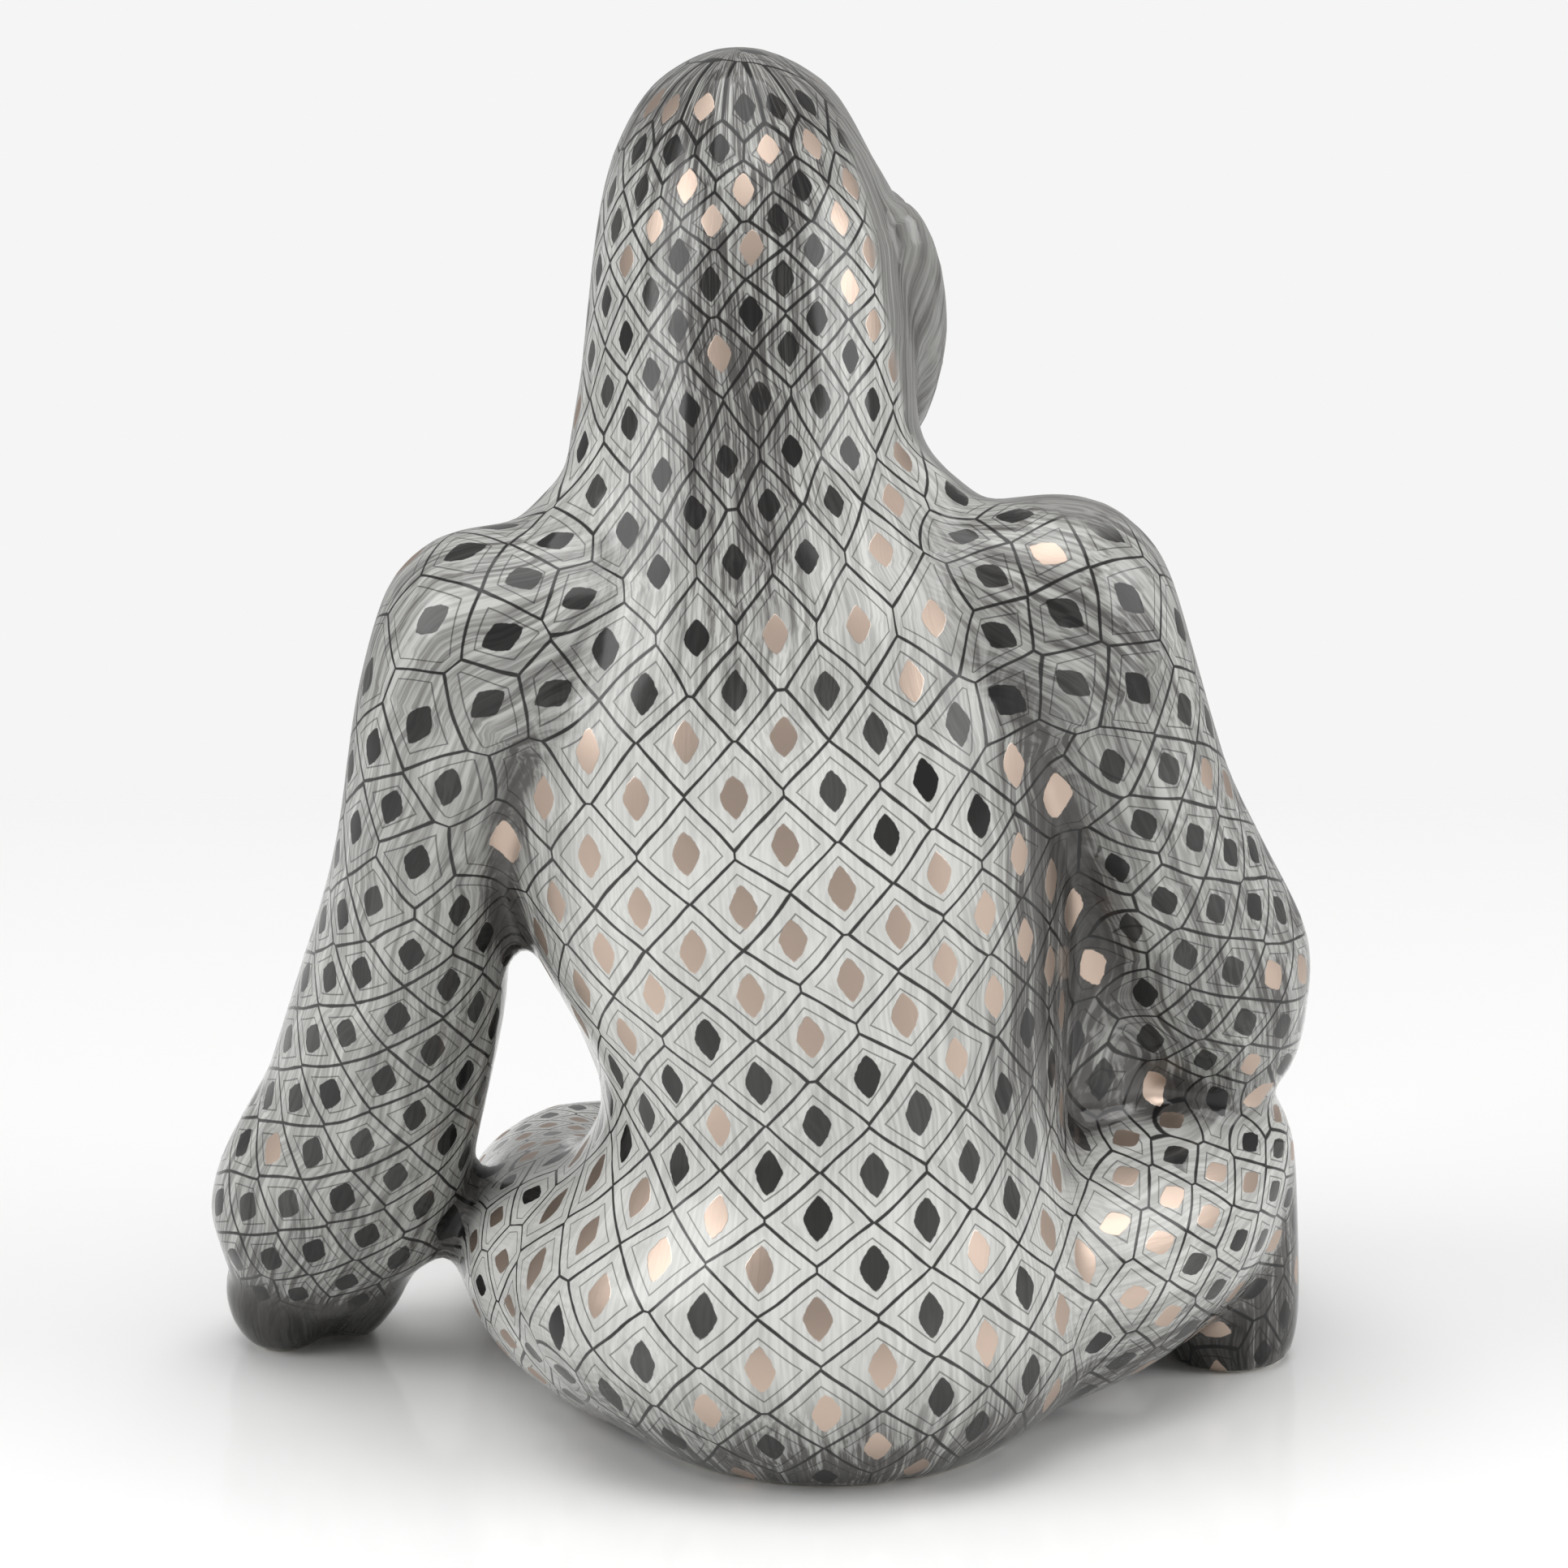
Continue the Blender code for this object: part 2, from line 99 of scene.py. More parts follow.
class Value:
    """A number somewhere in a material, which Python's operators combine into Math nodes."""

    def __init__(self, paint: "PaintBook", socket: bpy.types.NodeSocket) -> None:
        """Hold a socket.

        Args:
            paint: the material's book of nodes.
            socket: an output socket that carries a number.
        """
        self.paint = paint
        self.socket = socket

    def math(self, operation: str, *values: Number) -> "Value":
        """Return one Math node's result for this value and the others."""
        return self.paint.math(operation, self, *values)

    def __add__(self, other: Number) -> "Value":
        """Return self + other."""
        return self.math("ADD", other)

    def __radd__(self, other: Number) -> "Value":
        """Return other + self."""
        return self.math("ADD", other)

    def __sub__(self, other: Number) -> "Value":
        """Return self - other."""
        return self.math("SUBTRACT", other)

    def __rsub__(self, other: Number) -> "Value":
        """Return other - self."""
        return self.paint.math("SUBTRACT", other, self)

    def __mul__(self, other: Number) -> "Value":
        """Return self * other."""
        return self.math("MULTIPLY", other)

    def __rmul__(self, other: Number) -> "Value":
        """Return other * self."""
        return self.math("MULTIPLY", other)

    def __truediv__(self, other: Number) -> "Value":
        """Return self / other."""
        return self.math("DIVIDE", other)

    def __pow__(self, other: Number) -> "Value":
        """Return self to the power of other."""
        return self.math("POWER", other)

    def __abs__(self) -> "Value":
        """Return the absolute value."""
        return self.math("ABSOLUTE")

    def least(self, other: Number) -> "Value":
        """Return the smaller of the two."""
        return self.math("MINIMUM", other)

    def most(self, other: Number) -> "Value":
        """Return the larger of the two."""
        return self.math("MAXIMUM", other)

    def clamped(self) -> "Value":
        """Return the value held between 0 and 1."""
        return self.most(0.0).least(1.0)

    def rising(self, low: Number, high: Number) -> "Value":
        """Return a smooth step: 0 below low, 1 above high."""
        inputs = {"Value": self, "From Min": low, "From Max": high}
        out = self.paint.node("ShaderNodeMapRange", {"interpolation_type": "SMOOTHSTEP"}, inputs)
        return Value(self.paint, out.outputs["Result"])


class PaintBook:
    """Makes the nodes of one material."""

    def __init__(self, name: str) -> None:
        """Start an empty material.

        Args:
            name: the material's name.
        """
        self.material = bpy.data.materials.new(name)
        self.material.use_nodes = True
        self.tree = self.material.node_tree
        self.tree.nodes.clear()

    def node(
        self, kind: str, settings: Optional[dict[str, Any]] = None, inputs: Optional[dict[Any, Any]] = None
    ) -> bpy.types.Node:
        """Add a node.

        Args:
            kind: the node's type.
            settings: its properties, set before its sockets.
            inputs: what each socket takes, by name or index: a number, a colour, a Value or a socket.

        Returns:
            The node.
        """
        made = self.tree.nodes.new(kind)
        for key, value in (settings or {}).items():
            setattr(made, key, value)
        for key, value in (inputs or {}).items():
            socket = made.inputs[key]
            if isinstance(value, Value):
                self.tree.links.new(value.socket, socket)
            elif isinstance(value, bpy.types.NodeSocket):
                self.tree.links.new(value, socket)
            else:
                socket.default_value = value
        return made

    def math(self, operation: str, *values: Number) -> Value:
        """Return a Math node's result for up to three values."""
        made = self.node("ShaderNodeMath", {"operation": operation}, dict(enumerate(values)))
        return Value(self, made.outputs[0])

    def vector_math(self, operation: str, **inputs: Any) -> bpy.types.Node:
        """Return a Vector Math node, whose sockets are named a, b, c and scale."""
        places = {"a": 0, "b": 1, "c": 2, "scale": 3}
        sockets = {places[name]: value for name, value in inputs.items()}
        return self.node("ShaderNodeVectorMath", {"operation": operation}, sockets)

    def blend(self, factor: Number, first: Any, second: Any) -> bpy.types.NodeSocket:
        """Return the mix of two colours."""
        return self.node("ShaderNodeMix", {"data_type": "RGBA"}, {0: factor, 6: first, 7: second}).outputs[2]

    def attribute(self, name: str) -> bpy.types.Node:
        """Return the node that reads one of the mesh's attributes."""
        return self.node("ShaderNodeAttribute", {"attribute_name": name})

    def parts(self, vector: bpy.types.NodeSocket) -> tuple[Value, Value, Value]:
        """Return a vector's three numbers."""
        made = self.node("ShaderNodeSeparateXYZ", inputs={0: vector})
        return tuple(Value(self, made.outputs[i]) for i in range(3))

    def noise(
        self, where: bpy.types.NodeSocket, scale: float, detail: float = 2.0, rough: float = 0.5
    ) -> Value:
        """Return a noise of about 0.5, at a place scaled to millimetres."""
        inputs = {"Vector": where, "Scale": scale, "Detail": detail, "Roughness": rough}
        return Value(self, self.node("ShaderNodeTexNoise", inputs=inputs).outputs[0])

    def place_mm(self) -> bpy.types.NodeSocket:
        """Return the place on the object in millimetres."""
        where = self.node("ShaderNodeTexCoord").outputs["Object"]
        return self.vector_math("SCALE", a=where, scale=1 / MM).outputs[0]

    def finish(self, surface: bpy.types.NodeSocket) -> bpy.types.Material:
        """Connect the surface and return the material."""
        self.node("ShaderNodeOutputMaterial", inputs={"Surface": surface})
        return self.material


# The animal's limbs


Station = tuple[float, float, float, float]


class Coat(Enum):
    """How a part of the animal is painted."""

    BACK = "white with grey washes"
    ARM = "dark grey"
    THIGH = "white"
    # The shins' dark at the ground is painted shade, which darkens every coat near the floor.
    SHIN = "grey, dark at the ground"
    SKIN = "bare skin"


@dataclass
class Chart:
    """One limb's own coordinates of the skin's points.

    Attributes:
        share: the distance from the limb's axis over its radius.
        column: the place round the limb, in cells.
        row: the place along the limb, in rows of cells.
        drum: the place on a drum round the straightened axis, in millimetres.
    """

    share: np.ndarray
    column: np.ndarray
    row: np.ndarray
    drum: np.ndarray


@dataclass(frozen=True)
class Limb:
    """A stretch of the body round an axis, with its net of painted cells.

    Attributes:
        coat: how it is painted.
        columns: the number of cells round it.
        stations: points on its axis with the radius there, all in millimetres.
        row_share: the distance between rows over a cell's usual width.
        step_mm: the distance between the fine stations.
    """

    coat: Coat
    columns: int
    stations: tuple[Station, ...]
    row_share: float = 0.47
    step_mm: float = 0.5

    def fine(self) -> np.ndarray:
        """Return rows of x, y, z, radius along the axis, one each step."""
        rows = np.array(self.stations)
        along = np.r_[0, np.cumsum(np.linalg.norm(np.diff(rows[:, :3], axis=0), axis=1))]
        even = np.arange(0, along[-1] + self.step_mm, self.step_mm)
        return np.column_stack([np.interp(even, along, rows[:, i]) for i in range(4)])

    def nearest(self, points_mm: np.ndarray) -> tuple[np.ndarray, np.ndarray]:
        """Find where points lie along the axis.

        Args:
            points_mm: places on the skin.

        Returns:
            The index of the nearest fine station, and the distance over the radius there.
        """
        best = np.full(len(points_mm), 1e9)
        index = np.zeros(len(points_mm), int)
        for i, row in enumerate(self.fine()):
            share = np.linalg.norm(points_mm - row[:3], axis=1) / row[3]
            closer = share < best
            best[closer] = share[closer]
            index[closer] = i
        return index, best

    def tangents(self) -> np.ndarray:
        """Return the way the axis runs at each fine station."""
        ahead = np.gradient(self.fine()[:, :3], axis=0)
        return ahead / np.linalg.norm(ahead, axis=1)[:, None]

    def girth(self) -> float:
        """Return the radius half way along."""
        return self.stations[len(self.stations) // 2][3]

    def cell_mm(self) -> float:
        """Return the usual width of a cell."""
        return 2 * math.pi * self.girth() / self.columns

    def row_mm(self) -> float:
        """Return the distance between rows."""
        return self.row_share * self.cell_mm()

    def chart(self, points_mm: np.ndarray) -> Chart:
        """Return the limb's coordinates of points on the skin."""
        index, share = self.nearest(points_mm)
        fine = self.fine()
        tangent = self.tangents()
        reference = np.eye(3)[np.abs(tangent).max(axis=0).argmin()]
        side = np.cross(tangent, reference)
        side /= np.linalg.norm(side, axis=1)[:, None]
        front = np.cross(tangent, side)
        arm = points_mm - fine[index, :3]
        along = (arm * tangent[index]).sum(axis=1)
        angle = np.arctan2((arm * front[index]).sum(axis=1), (arm * side[index]).sum(axis=1))
        round_mm = self.girth() * np.column_stack([np.cos(angle), np.sin(angle)])
        drum = np.column_stack([round_mm, self.step_mm * index + along])
        return Chart(share, angle / (2 * np.pi) * self.columns, drum[:, 2] / self.row_mm(), drum)


CENTRE_SHIFT_MM = (-4.44, 8.34)


def axis(*stations: Station) -> tuple[Station, ...]:
    """Return the stations moved so that the footprint's middle is the origin."""
    return tuple((x + CENTRE_SHIFT_MM[0], y + CENTRE_SHIFT_MM[1], z, r) for x, y, z, r in stations)


# Each axis runs the way the fur lies
LIMBS: dict[str, Limb] = {
    "trunk": Limb(
        Coat.BACK,
        16,
        axis(
            (5.7, -9.5, 107, 9.5),
            (5.3, -9.6, 100.5, 13.8),
            (5.1, -8.6, 93, 15.8),
            (5.0, -5.4, 85, 16.2),
            (4.0, -0.4, 76, 17.2),
            (2.8, 3.7, 66, 19.6),
            (2.2, 5.3, 54, 21.4),
            (0.8, 6, 41, 21.2),
            (-0.6, 6.6, 29, 20.8),
            (-0.6, 7, 15, 23.0),
            (-1.2, 7, 3, 21),
        ),
    ),
    "left_arm": Limb(
        Coat.ARM,
        8,
        axis(
            (20, 7.5, 66.5, 10.4),
            (26.4, 8, 63, 9.8),
            (31, 6.5, 50, 8.4),
            (33.2, 1, 36, 9.0),
            (36.9, -4.5, 22.5, 9.7),
            (40.9, -8.5, 12.2, 9.5),
        ),
    ),
    "left_hand": Limb(Coat.SKIN, 8, axis((41, -11, 8, 8.5), (41.5, -12, 3, 7))),
    "right_arm": Limb(
        Coat.ARM,
        8,
        axis(
            (-15, 7, 68.5, 10.3),
            (-21.5, 7, 64.5, 9.8),
            (-26.8, 3.5, 51, 8.4),
            (-29.4, -0.5, 43, 9.1),
            (-31.5, -5, 34, 10),
        ),
    ),
    "right_forearm": Limb(
        Coat.ARM,
        8,
        axis((-33, -9, 31, 8.5), (-30, -16, 31.6, 8.9), (-22, -22.5, 30.2, 8.3), (-12, -26, 26.6, 7)),
    ),
    "right_hand": Limb(Coat.SKIN, 8, axis((-6, -28, 22.6, 5.6), (2, -30.5, 17, 5), (8, -33, 13, 5))),
    "left_thigh": Limb(
        Coat.THIGH,
        11,
        axis(
            (10, 11, 11.6, 12.4),
            (17, 2, 10.8, 10.8),
            (19.8, -7, 9.8, 9.7),
            (20.8, -16, 9, 8.8),
            (21, -24, 8.3, 8.4),
        ),
    ),
    "left_shin": Limb(
        Coat.SHIN,
        8,
        axis((20, -27, 7.8, 8), (16, -33, 6.8, 7.2), (8, -37, 6.2, 6.4), (3, -38, 5.6, 5.8)),
    ),
    "left_foot": Limb(Coat.SKIN, 8, axis((-1, -38.5, 5, 5.6), (-16, -41, 3.5, 6), (-22, -42, 2.5, 5))),
    "right_thigh": Limb(
        Coat.THIGH,
        11,
        axis((-10, 10, 12.5, 12.6), (-20, 4, 12.8, 11.8), (-27.5, -2, 14.4, 10.6), (-32.6, -7.5, 17, 8.9)),
    ),
    "right_shin": Limb(Coat.SHIN, 8, axis((-33.8, -9, 15.5, 8.2), (-35.2, -9, 9, 7.3), (-35.6, -9, 2, 6.8))),
    "right_foot": Limb(
        Coat.SKIN,
        8,
        axis((-34.8, -17, 4.2, 6.4), (-34.2, -24, 3.5, 6.8), (-33.6, -32, 2.5, 6)),
    ),
}


@dataclass(frozen=True)
class Head:
    """Where the face is on the turned head.

    Attributes:
        centre_mm: the middle of the head.
        turn: how far the head looks over the right shoulder.
    """

    centre_mm: Triple = (5.2 + CENTRE_SHIFT_MM[0], -8.0 + CENTRE_SHIFT_MM[1], 92.0)
    turn: float = math.radians(55)

    def axes(self) -> np.ndarray:
        """Return rows of the head's left, forward and up directions."""
        c, s = math.cos(self.turn), math.sin(self.turn)
        return np.array([[c, -s, 0], [-s, -c, 0], [0, 0, 1]])

    def place(self, side: float, forward: float, up: float) -> Vector:
        """Return a point in millimetres, given from the middle of the head."""
        return Vector(np.array(self.centre_mm) + np.array([side, forward, up]) @ self.axes())

    def inside(self, points_mm: np.ndarray) -> np.ndarray:
        """Return each point's place from the middle of the head: side, forward and up."""
        return (points_mm - np.array(self.centre_mm)) @ self.axes().T


HEAD = Head()


def ramp(values: np.ndarray, low: float, high: float) -> np.ndarray:
    """Return a smooth step from 0 at low to 1 at high, in either order."""
    share = np.clip((values - low) / (high - low), 0, 1)
    return share * share * (3 - 2 * share)


def vectors(items: bpy.types.bpy_prop_collection, name: str) -> np.ndarray:
    """Return one vector of each item as rows."""
    flat = np.empty(len(items) * 3)
    items.foreach_get(name, flat)
    return flat.reshape(-1, 3)


# The painted net


@dataclass
class Skin:
    """The fine mesh's points with their limbs, directions and hollows.

    Attributes:
        mesh: the mesh the painting values are stored on.
        row_rounds: rounds of smoothing for the rows.
        bend_rounds: the same for the hollows.
        full_bend: the bend at which a hollow counts in full.
        points: the places of its points, in millimetres.
        normals: the outward directions there.
        edges: the pairs of points that edges join.
        charts: each limb's coordinates of the points.
        share: the distance of each point from each limb's axis, over the limb's radius.
        region: the number of the limb that each point belongs to.
        tree: finds the nearest points.
        hollow: 0 where the skin bulges, 1 in a crease; the glaze darkens it there as painted shade.
    """

    mesh: bpy.types.Mesh
    row_rounds: int = 40
    bend_rounds: int = 26
    full_bend: float = 0.03
    points: np.ndarray = field(init=False)
    normals: np.ndarray = field(init=False)
    edges: np.ndarray = field(init=False)
    charts: list[Chart] = field(init=False)
    share: np.ndarray = field(init=False)
    region: np.ndarray = field(init=False)
    tree: kdtree.KDTree = field(init=False)
    hollow: np.ndarray = field(init=False)

    def __post_init__(self) -> None:
        """Read the mesh and work out its regions and its hollows."""
        self.points = vectors(self.mesh.vertices, "co") / MM
        self.normals = vectors(self.mesh.vertices, "normal")
        ends = np.empty(len(self.mesh.edges) * 2, int)
        self.mesh.edges.foreach_get("vertices", ends)
        self.edges = ends.reshape(-1, 2)
        self.charts = [limb.chart(self.points) for limb in LIMBS.values()]
        self.share = np.array([chart.share for chart in self.charts])
        self.region = self.share.argmin(axis=0)
        self.tree = point_tree(self.points)
        for chart in self.charts:
            chart.row = self.smoothed(chart.row, self.row_rounds)
        self._measure_hollows()

    def _measure_hollows(self) -> None:
        """Measure how hollow the skin is at each point: 0 where it bulges, 1 in a crease."""
        a, b = self.edges.T
        step = self.points[b] - self.points[a]
        count = len(self.points)
        total = np.bincount(a, (step * self.normals[a]).sum(axis=1), count)
        total -= np.bincount(b, (step * self.normals[b]).sum(axis=1), count)
        number = np.maximum(np.bincount(self.edges.ravel(), minlength=count), 1)
        bend = total / number
        for _ in range(self.bend_rounds):
            bend = 0.4 * bend + 0.6 * self.smoothed(bend, 1)
        self.hollow = ramp(bend, 0.0, self.full_bend)

    def mask(self, *coats: Coat) -> np.ndarray:
        """Return 1 on the limbs with one of these coats."""
        kinds = [limb.coat for limb in LIMBS.values()]
        return np.isin(self.region, [i for i, kind in enumerate(kinds) if kind in coats]).astype(float)

    def smoothed(self, values: np.ndarray, rounds: int) -> np.ndarray:
        """Return values spread to their neighbours, to soften the limbs' borders."""
        a, b = self.edges.T
        number = np.maximum(np.bincount(self.edges.ravel(), minlength=len(values)), 1)
        for _ in range(rounds):
            total = np.bincount(a, values[b], len(values)) + np.bincount(b, values[a], len(values))
            values = total / number
        return values

    def slopes(self, limb: int, vertex: int, reach_mm: float = 1.7) -> tuple[np.ndarray, np.ndarray]:
        """Measure how a limb's cells lie on the skin round a point.

        Args:
            limb: the limb's number.
            vertex: the point's number.
            reach_mm: how far round it the skin is looked at.

        Returns:
            The change of half columns and the change of rows over a millimetre, at right angles on the skin.
        """
        chart = self.charts[limb]
        columns = list(LIMBS.values())[limb].columns
        normal = self.normals[vertex]
        near = np.array([hit[1] for hit in self.tree.find_range(self.points[vertex], reach_mm)])
        near = near[self.normals[near] @ normal > 0.5]
        steps = self.points[near] - self.points[vertex]
        turns = (chart.column[near] - chart.column[vertex] + columns / 2) % columns - columns / 2
        changes = np.column_stack([2 * turns, chart.row[near] - chart.row[vertex]])
        found = np.linalg.lstsq(steps, changes, rcond=0.2)[0].T
        found -= np.outer(found @ normal, normal)
        along = found[1] + 1e-6
        along_way = along / np.linalg.norm(along)
        across_way = np.cross(along_way, normal)
        return across_way * abs(found[0] @ across_way), along


def point_tree(points: np.ndarray) -> kdtree.KDTree:
    """Return a tree that finds the nearest points."""
    tree = kdtree.KDTree(len(points))
    for i, point in enumerate(points):
        tree.insert(point, i)
    tree.balance()
    return tree


@dataclass
class PaintedNet:
    """The net of lozenge cells, drawn in staggered rows that run round each limb.

    A cell's across and along are its limb's directions on the skin. Their lengths are the changes of
    half columns and of rows over a millimetre, so neighbours lie one step off in both.

    Attributes:
        skin: the surface it is drawn on.
        clearance: how near two cells' middles may come, in steps.
        room: how far a point may be from every cell's middle, in steps.
        miss: how far off its row and column a cell may lie, as a square of steps.
        wobble_mm: how far the brush strays.
        wobble_seed: the start of its random wander.
        accent_width_mm: the cell width that the accents' sizes are given for.
        vertices: the skin's point in the middle of each cell.
        limbs: the number of each cell's limb.
        seeds: the cells' middles, in millimetres.
        normals: the outward directions there.
        across: each cell's direction round its limb.
        along: each cell's direction along its limb.
        width: the cells' widths, in millimetres.
    """

    skin: Skin
    clearance: float = 0.98
    room: float = 1.22
    miss: float = 0.12
    wobble_mm: float = 0.2
    wobble_seed: int = 5
    accent_width_mm: float = 7.6
    vertices: np.ndarray = field(init=False)
    limbs: np.ndarray = field(init=False)
    seeds: np.ndarray = field(init=False)
    normals: np.ndarray = field(init=False)
    across: np.ndarray = field(init=False)
    along: np.ndarray = field(init=False)
    width: np.ndarray = field(init=False)

    def plan(self) -> None:
        """Place the middle of every cell."""
        places = []
        for number, limb in enumerate(LIMBS.values()):
            places += [(vertex, number) for vertex in self._limb_places(number, limb)]
        vertices, limbs = np.array(places).T
        self._take(vertices, limbs)
        self._thin_out()
        self._fill_in()
        self._even_out()

    def _take(self, vertices: np.ndarray, limbs: np.ndarray) -> None:
        """Store cells whose middles are on these vertices."""
        self.vertices = vertices
        self.limbs = limbs
        self.seeds = self.skin.points[vertices]
        self.normals = self.skin.normals[vertices]
        slopes = [self._held_slopes(limb, vertex) for vertex, limb in zip(vertices, limbs)]
        self.across = np.array([across for across, _ in slopes])
        self.along = np.array([along for _, along in slopes])
        self.width = 2 / np.linalg.norm(self.across, axis=1)

    def _held_slopes(self, number: int, vertex: int) -> tuple[np.ndarray, np.ndarray]:
        """Return a cell's across and along, with its size held near the limb's own."""
        limb = list(LIMBS.values())[number]
        held = []
        for slope, usual in zip(self.skin.slopes(number, vertex), (2 / limb.cell_mm(), 1 / limb.row_mm())):
            size = np.linalg.norm(slope)
            held.append(slope / size * np.clip(size, 0.7 * usual, 1.45 * usual))
        return held[0], held[1]

    def _limb_places(self, number: int, limb: Limb) -> Iterable[int]:
        """Yield the vertex of each cell of one limb, row by row."""
        mine = np.flatnonzero(self.skin.region == number)
        if not len(mine):
            return
        chart = self.skin.charts[number]
        row, column = chart.row[mine], chart.column[mine]
        for j in range(int(row.min()) - 1, int(row.max()) + 2):
            for i in range(limb.columns):
                turns = (column - i - 0.5 * (j % 2) + limb.columns / 2) % limb.columns - limb.columns / 2
                miss = (2 * turns) ** 2 + (row - j) ** 2
                best = miss.argmin()
                if miss[best] < self.miss:
                    yield int(mine[best])

    def _steps_from(self, cell: int, points: np.ndarray) -> np.ndarray:
        """Return how many steps points are from a cell's middle."""
        apart = points - self.seeds[cell]
        return np.hypot(apart @ self.across[cell], apart @ self.along[cell])

    def _thin_out(self) -> None:
        """Drop each cell that comes too near to one before it."""
        kept = np.ones(len(self.seeds), bool)
        for i in range(1, len(self.seeds)):
            before = np.flatnonzero(kept[:i] & (self.normals[:i] @ self.normals[i] > 0))
            before = before[np.abs(self.seeds[before] - self.seeds[i]).max(axis=1) < 9]
            apart = self.seeds[before] - self.seeds[i]
            across = (apart * self.across[before]).sum(axis=1)
            along = (apart * self.along[before]).sum(axis=1)
            steps = 0.5 * (np.hypot(across, along) + self._steps_from(i, self.seeds[before]))
            kept[i] = not len(before) or steps.min() >= self.clearance
        self._take(self.vertices[kept], self.limbs[kept])

    def _fill_in(self) -> None:
        """Add a cell wherever a gap is left between the limbs' rows."""
        nearest = np.full(len(self.skin.points), 1e9)
        for cell in range(len(self.seeds)):
            self._shorten(nearest, cell)
        while nearest.max() > self.room:
            widest = int(nearest.argmax())
            across, along = self._held_slopes(int(self.skin.region[widest]), widest)
            self.vertices = np.append(self.vertices, widest)
            self.limbs = np.append(self.limbs, self.skin.region[widest])
            self.seeds = np.vstack([self.seeds, self.skin.points[widest]])
            self.normals = np.vstack([self.normals, self.skin.normals[widest]])
            self.across = np.vstack([self.across, across])
            self.along = np.vstack([self.along, along])
            self._shorten(nearest, len(self.seeds) - 1)
        self._take(self.vertices, self.limbs)

    def _shorten(self, nearest: np.ndarray, cell: int) -> None:
        """Lower each point's steps to its nearest cell, where the cell is on its side of the body."""
        close = np.flatnonzero(np.abs(self.skin.points - self.seeds[cell]).max(axis=1) < 12)
        close = close[self.skin.normals[close] @ self.normals[cell] > 0]
        nearest[close] = np.minimum(nearest[close], self._steps_from(cell, self.skin.points[close]))

    def _even_out(self, rounds: int = 5) -> None:
        """Shift the cells where two limbs meet into the middle of their room."""
        for _ in range(rounds):
            seeds = point_tree(self.seeds)
            moved = self.seeds.copy()
            for i, seed in enumerate(self.seeds):
                near = seeds.find_n(seed, 7)[1:]
                if all(self.limbs[j] == self.limbs[i] for _, j, _ in near):
                    continue
                room = 0.76 * self.width[i]
                push = np.zeros(3)
                for place, _, distance in near:
                    if distance < room:
                        push += (seed - np.array(place)) / max(distance, 0.3) * (room - distance)
                moved[i] = seed + 0.3 * push
            self._take(np.array([self.skin.tree.find(place)[1] for place in moved]), self.limbs)

    def _strayed(self) -> np.ndarray:
        """Return the skin's points as the unsteady brush takes them."""
        noise.seed_set(self.wobble_seed)
        wander = np.array([noise.noise_vector(Vector(p * 0.28)) for p in self.skin.points])
        return self.skin.points + wander * self.wobble_mm

    def draw(self, accents: "AccentPlan") -> None:
        """Store the net on the mesh.

        The corner attribute "net" holds the nearness of four cells. The two least of them differ by the
        distance to the line between those cells. The corner attribute "motif" holds the place in the nearest
        cell, and that cell's accent and size.

        Args:
            accents: what is painted in the middle of each cell.
        """
        corners = Corners(self.skin)
        places = self._strayed()
        of_face = self._nearest_cells(corners.middles(places), corners.middles(self.skin.normals))
        nearest = of_face[corners.face]
        corner_places = places[corners.vertex]
        net = np.column_stack([self._nearness(corner_places, nearest[:, k]) for k in range(4)])
        cell = nearest[:, 0]
        apart = corner_places - self.seeds[cell]
        scale = np.sqrt(self.width[cell] * self.accent_width_mm)
        across = (apart * self.across[cell]).sum(axis=1) / np.linalg.norm(self.across[cell], axis=1) / scale
        along = (apart * self.along[cell]).sum(axis=1) / np.linalg.norm(self.along[cell], axis=1) / scale
        corners.store("net", net)
        size = scale / self.accent_width_mm
        corners.store("motif", np.column_stack([across, along, accents.kinds(self)[cell], size]))

    def _nearness(self, places: np.ndarray, cells: np.ndarray) -> np.ndarray:
        """Return half the squared steps to each cell's middle, over the steps in a millimetre."""
        apart = places - self.seeds[cells]
        across, along = self.across[cells], self.along[cells]
        squared = (apart * across).sum(axis=1) ** 2 + (apart * along).sum(axis=1) ** 2
        steps = np.sqrt((across**2).sum(axis=1) + (along**2).sum(axis=1))
        return squared / (2 * steps)

    def _nearest_cells(self, middle: np.ndarray, facing: np.ndarray) -> np.ndarray:
        """Return the four nearest cells of each face, on the same side of the body."""
        tree = point_tree(self.seeds)
        found, other_side = 10, 50.0
        near = np.array([[hit[1] for hit in tree.find_n(place, found)] for place in middle])
        rows = np.repeat(middle, found, axis=0)
        cost = self._nearness(rows, near.ravel()).reshape(-1, found)
        agree = (facing[:, None, :] * self.normals[near]).sum(axis=2)
        cost += np.where(agree < 0.15, other_side, 0.0)
        order = np.argsort(cost, axis=1)[:, :4]
        return np.take_along_axis(near, order, axis=1)


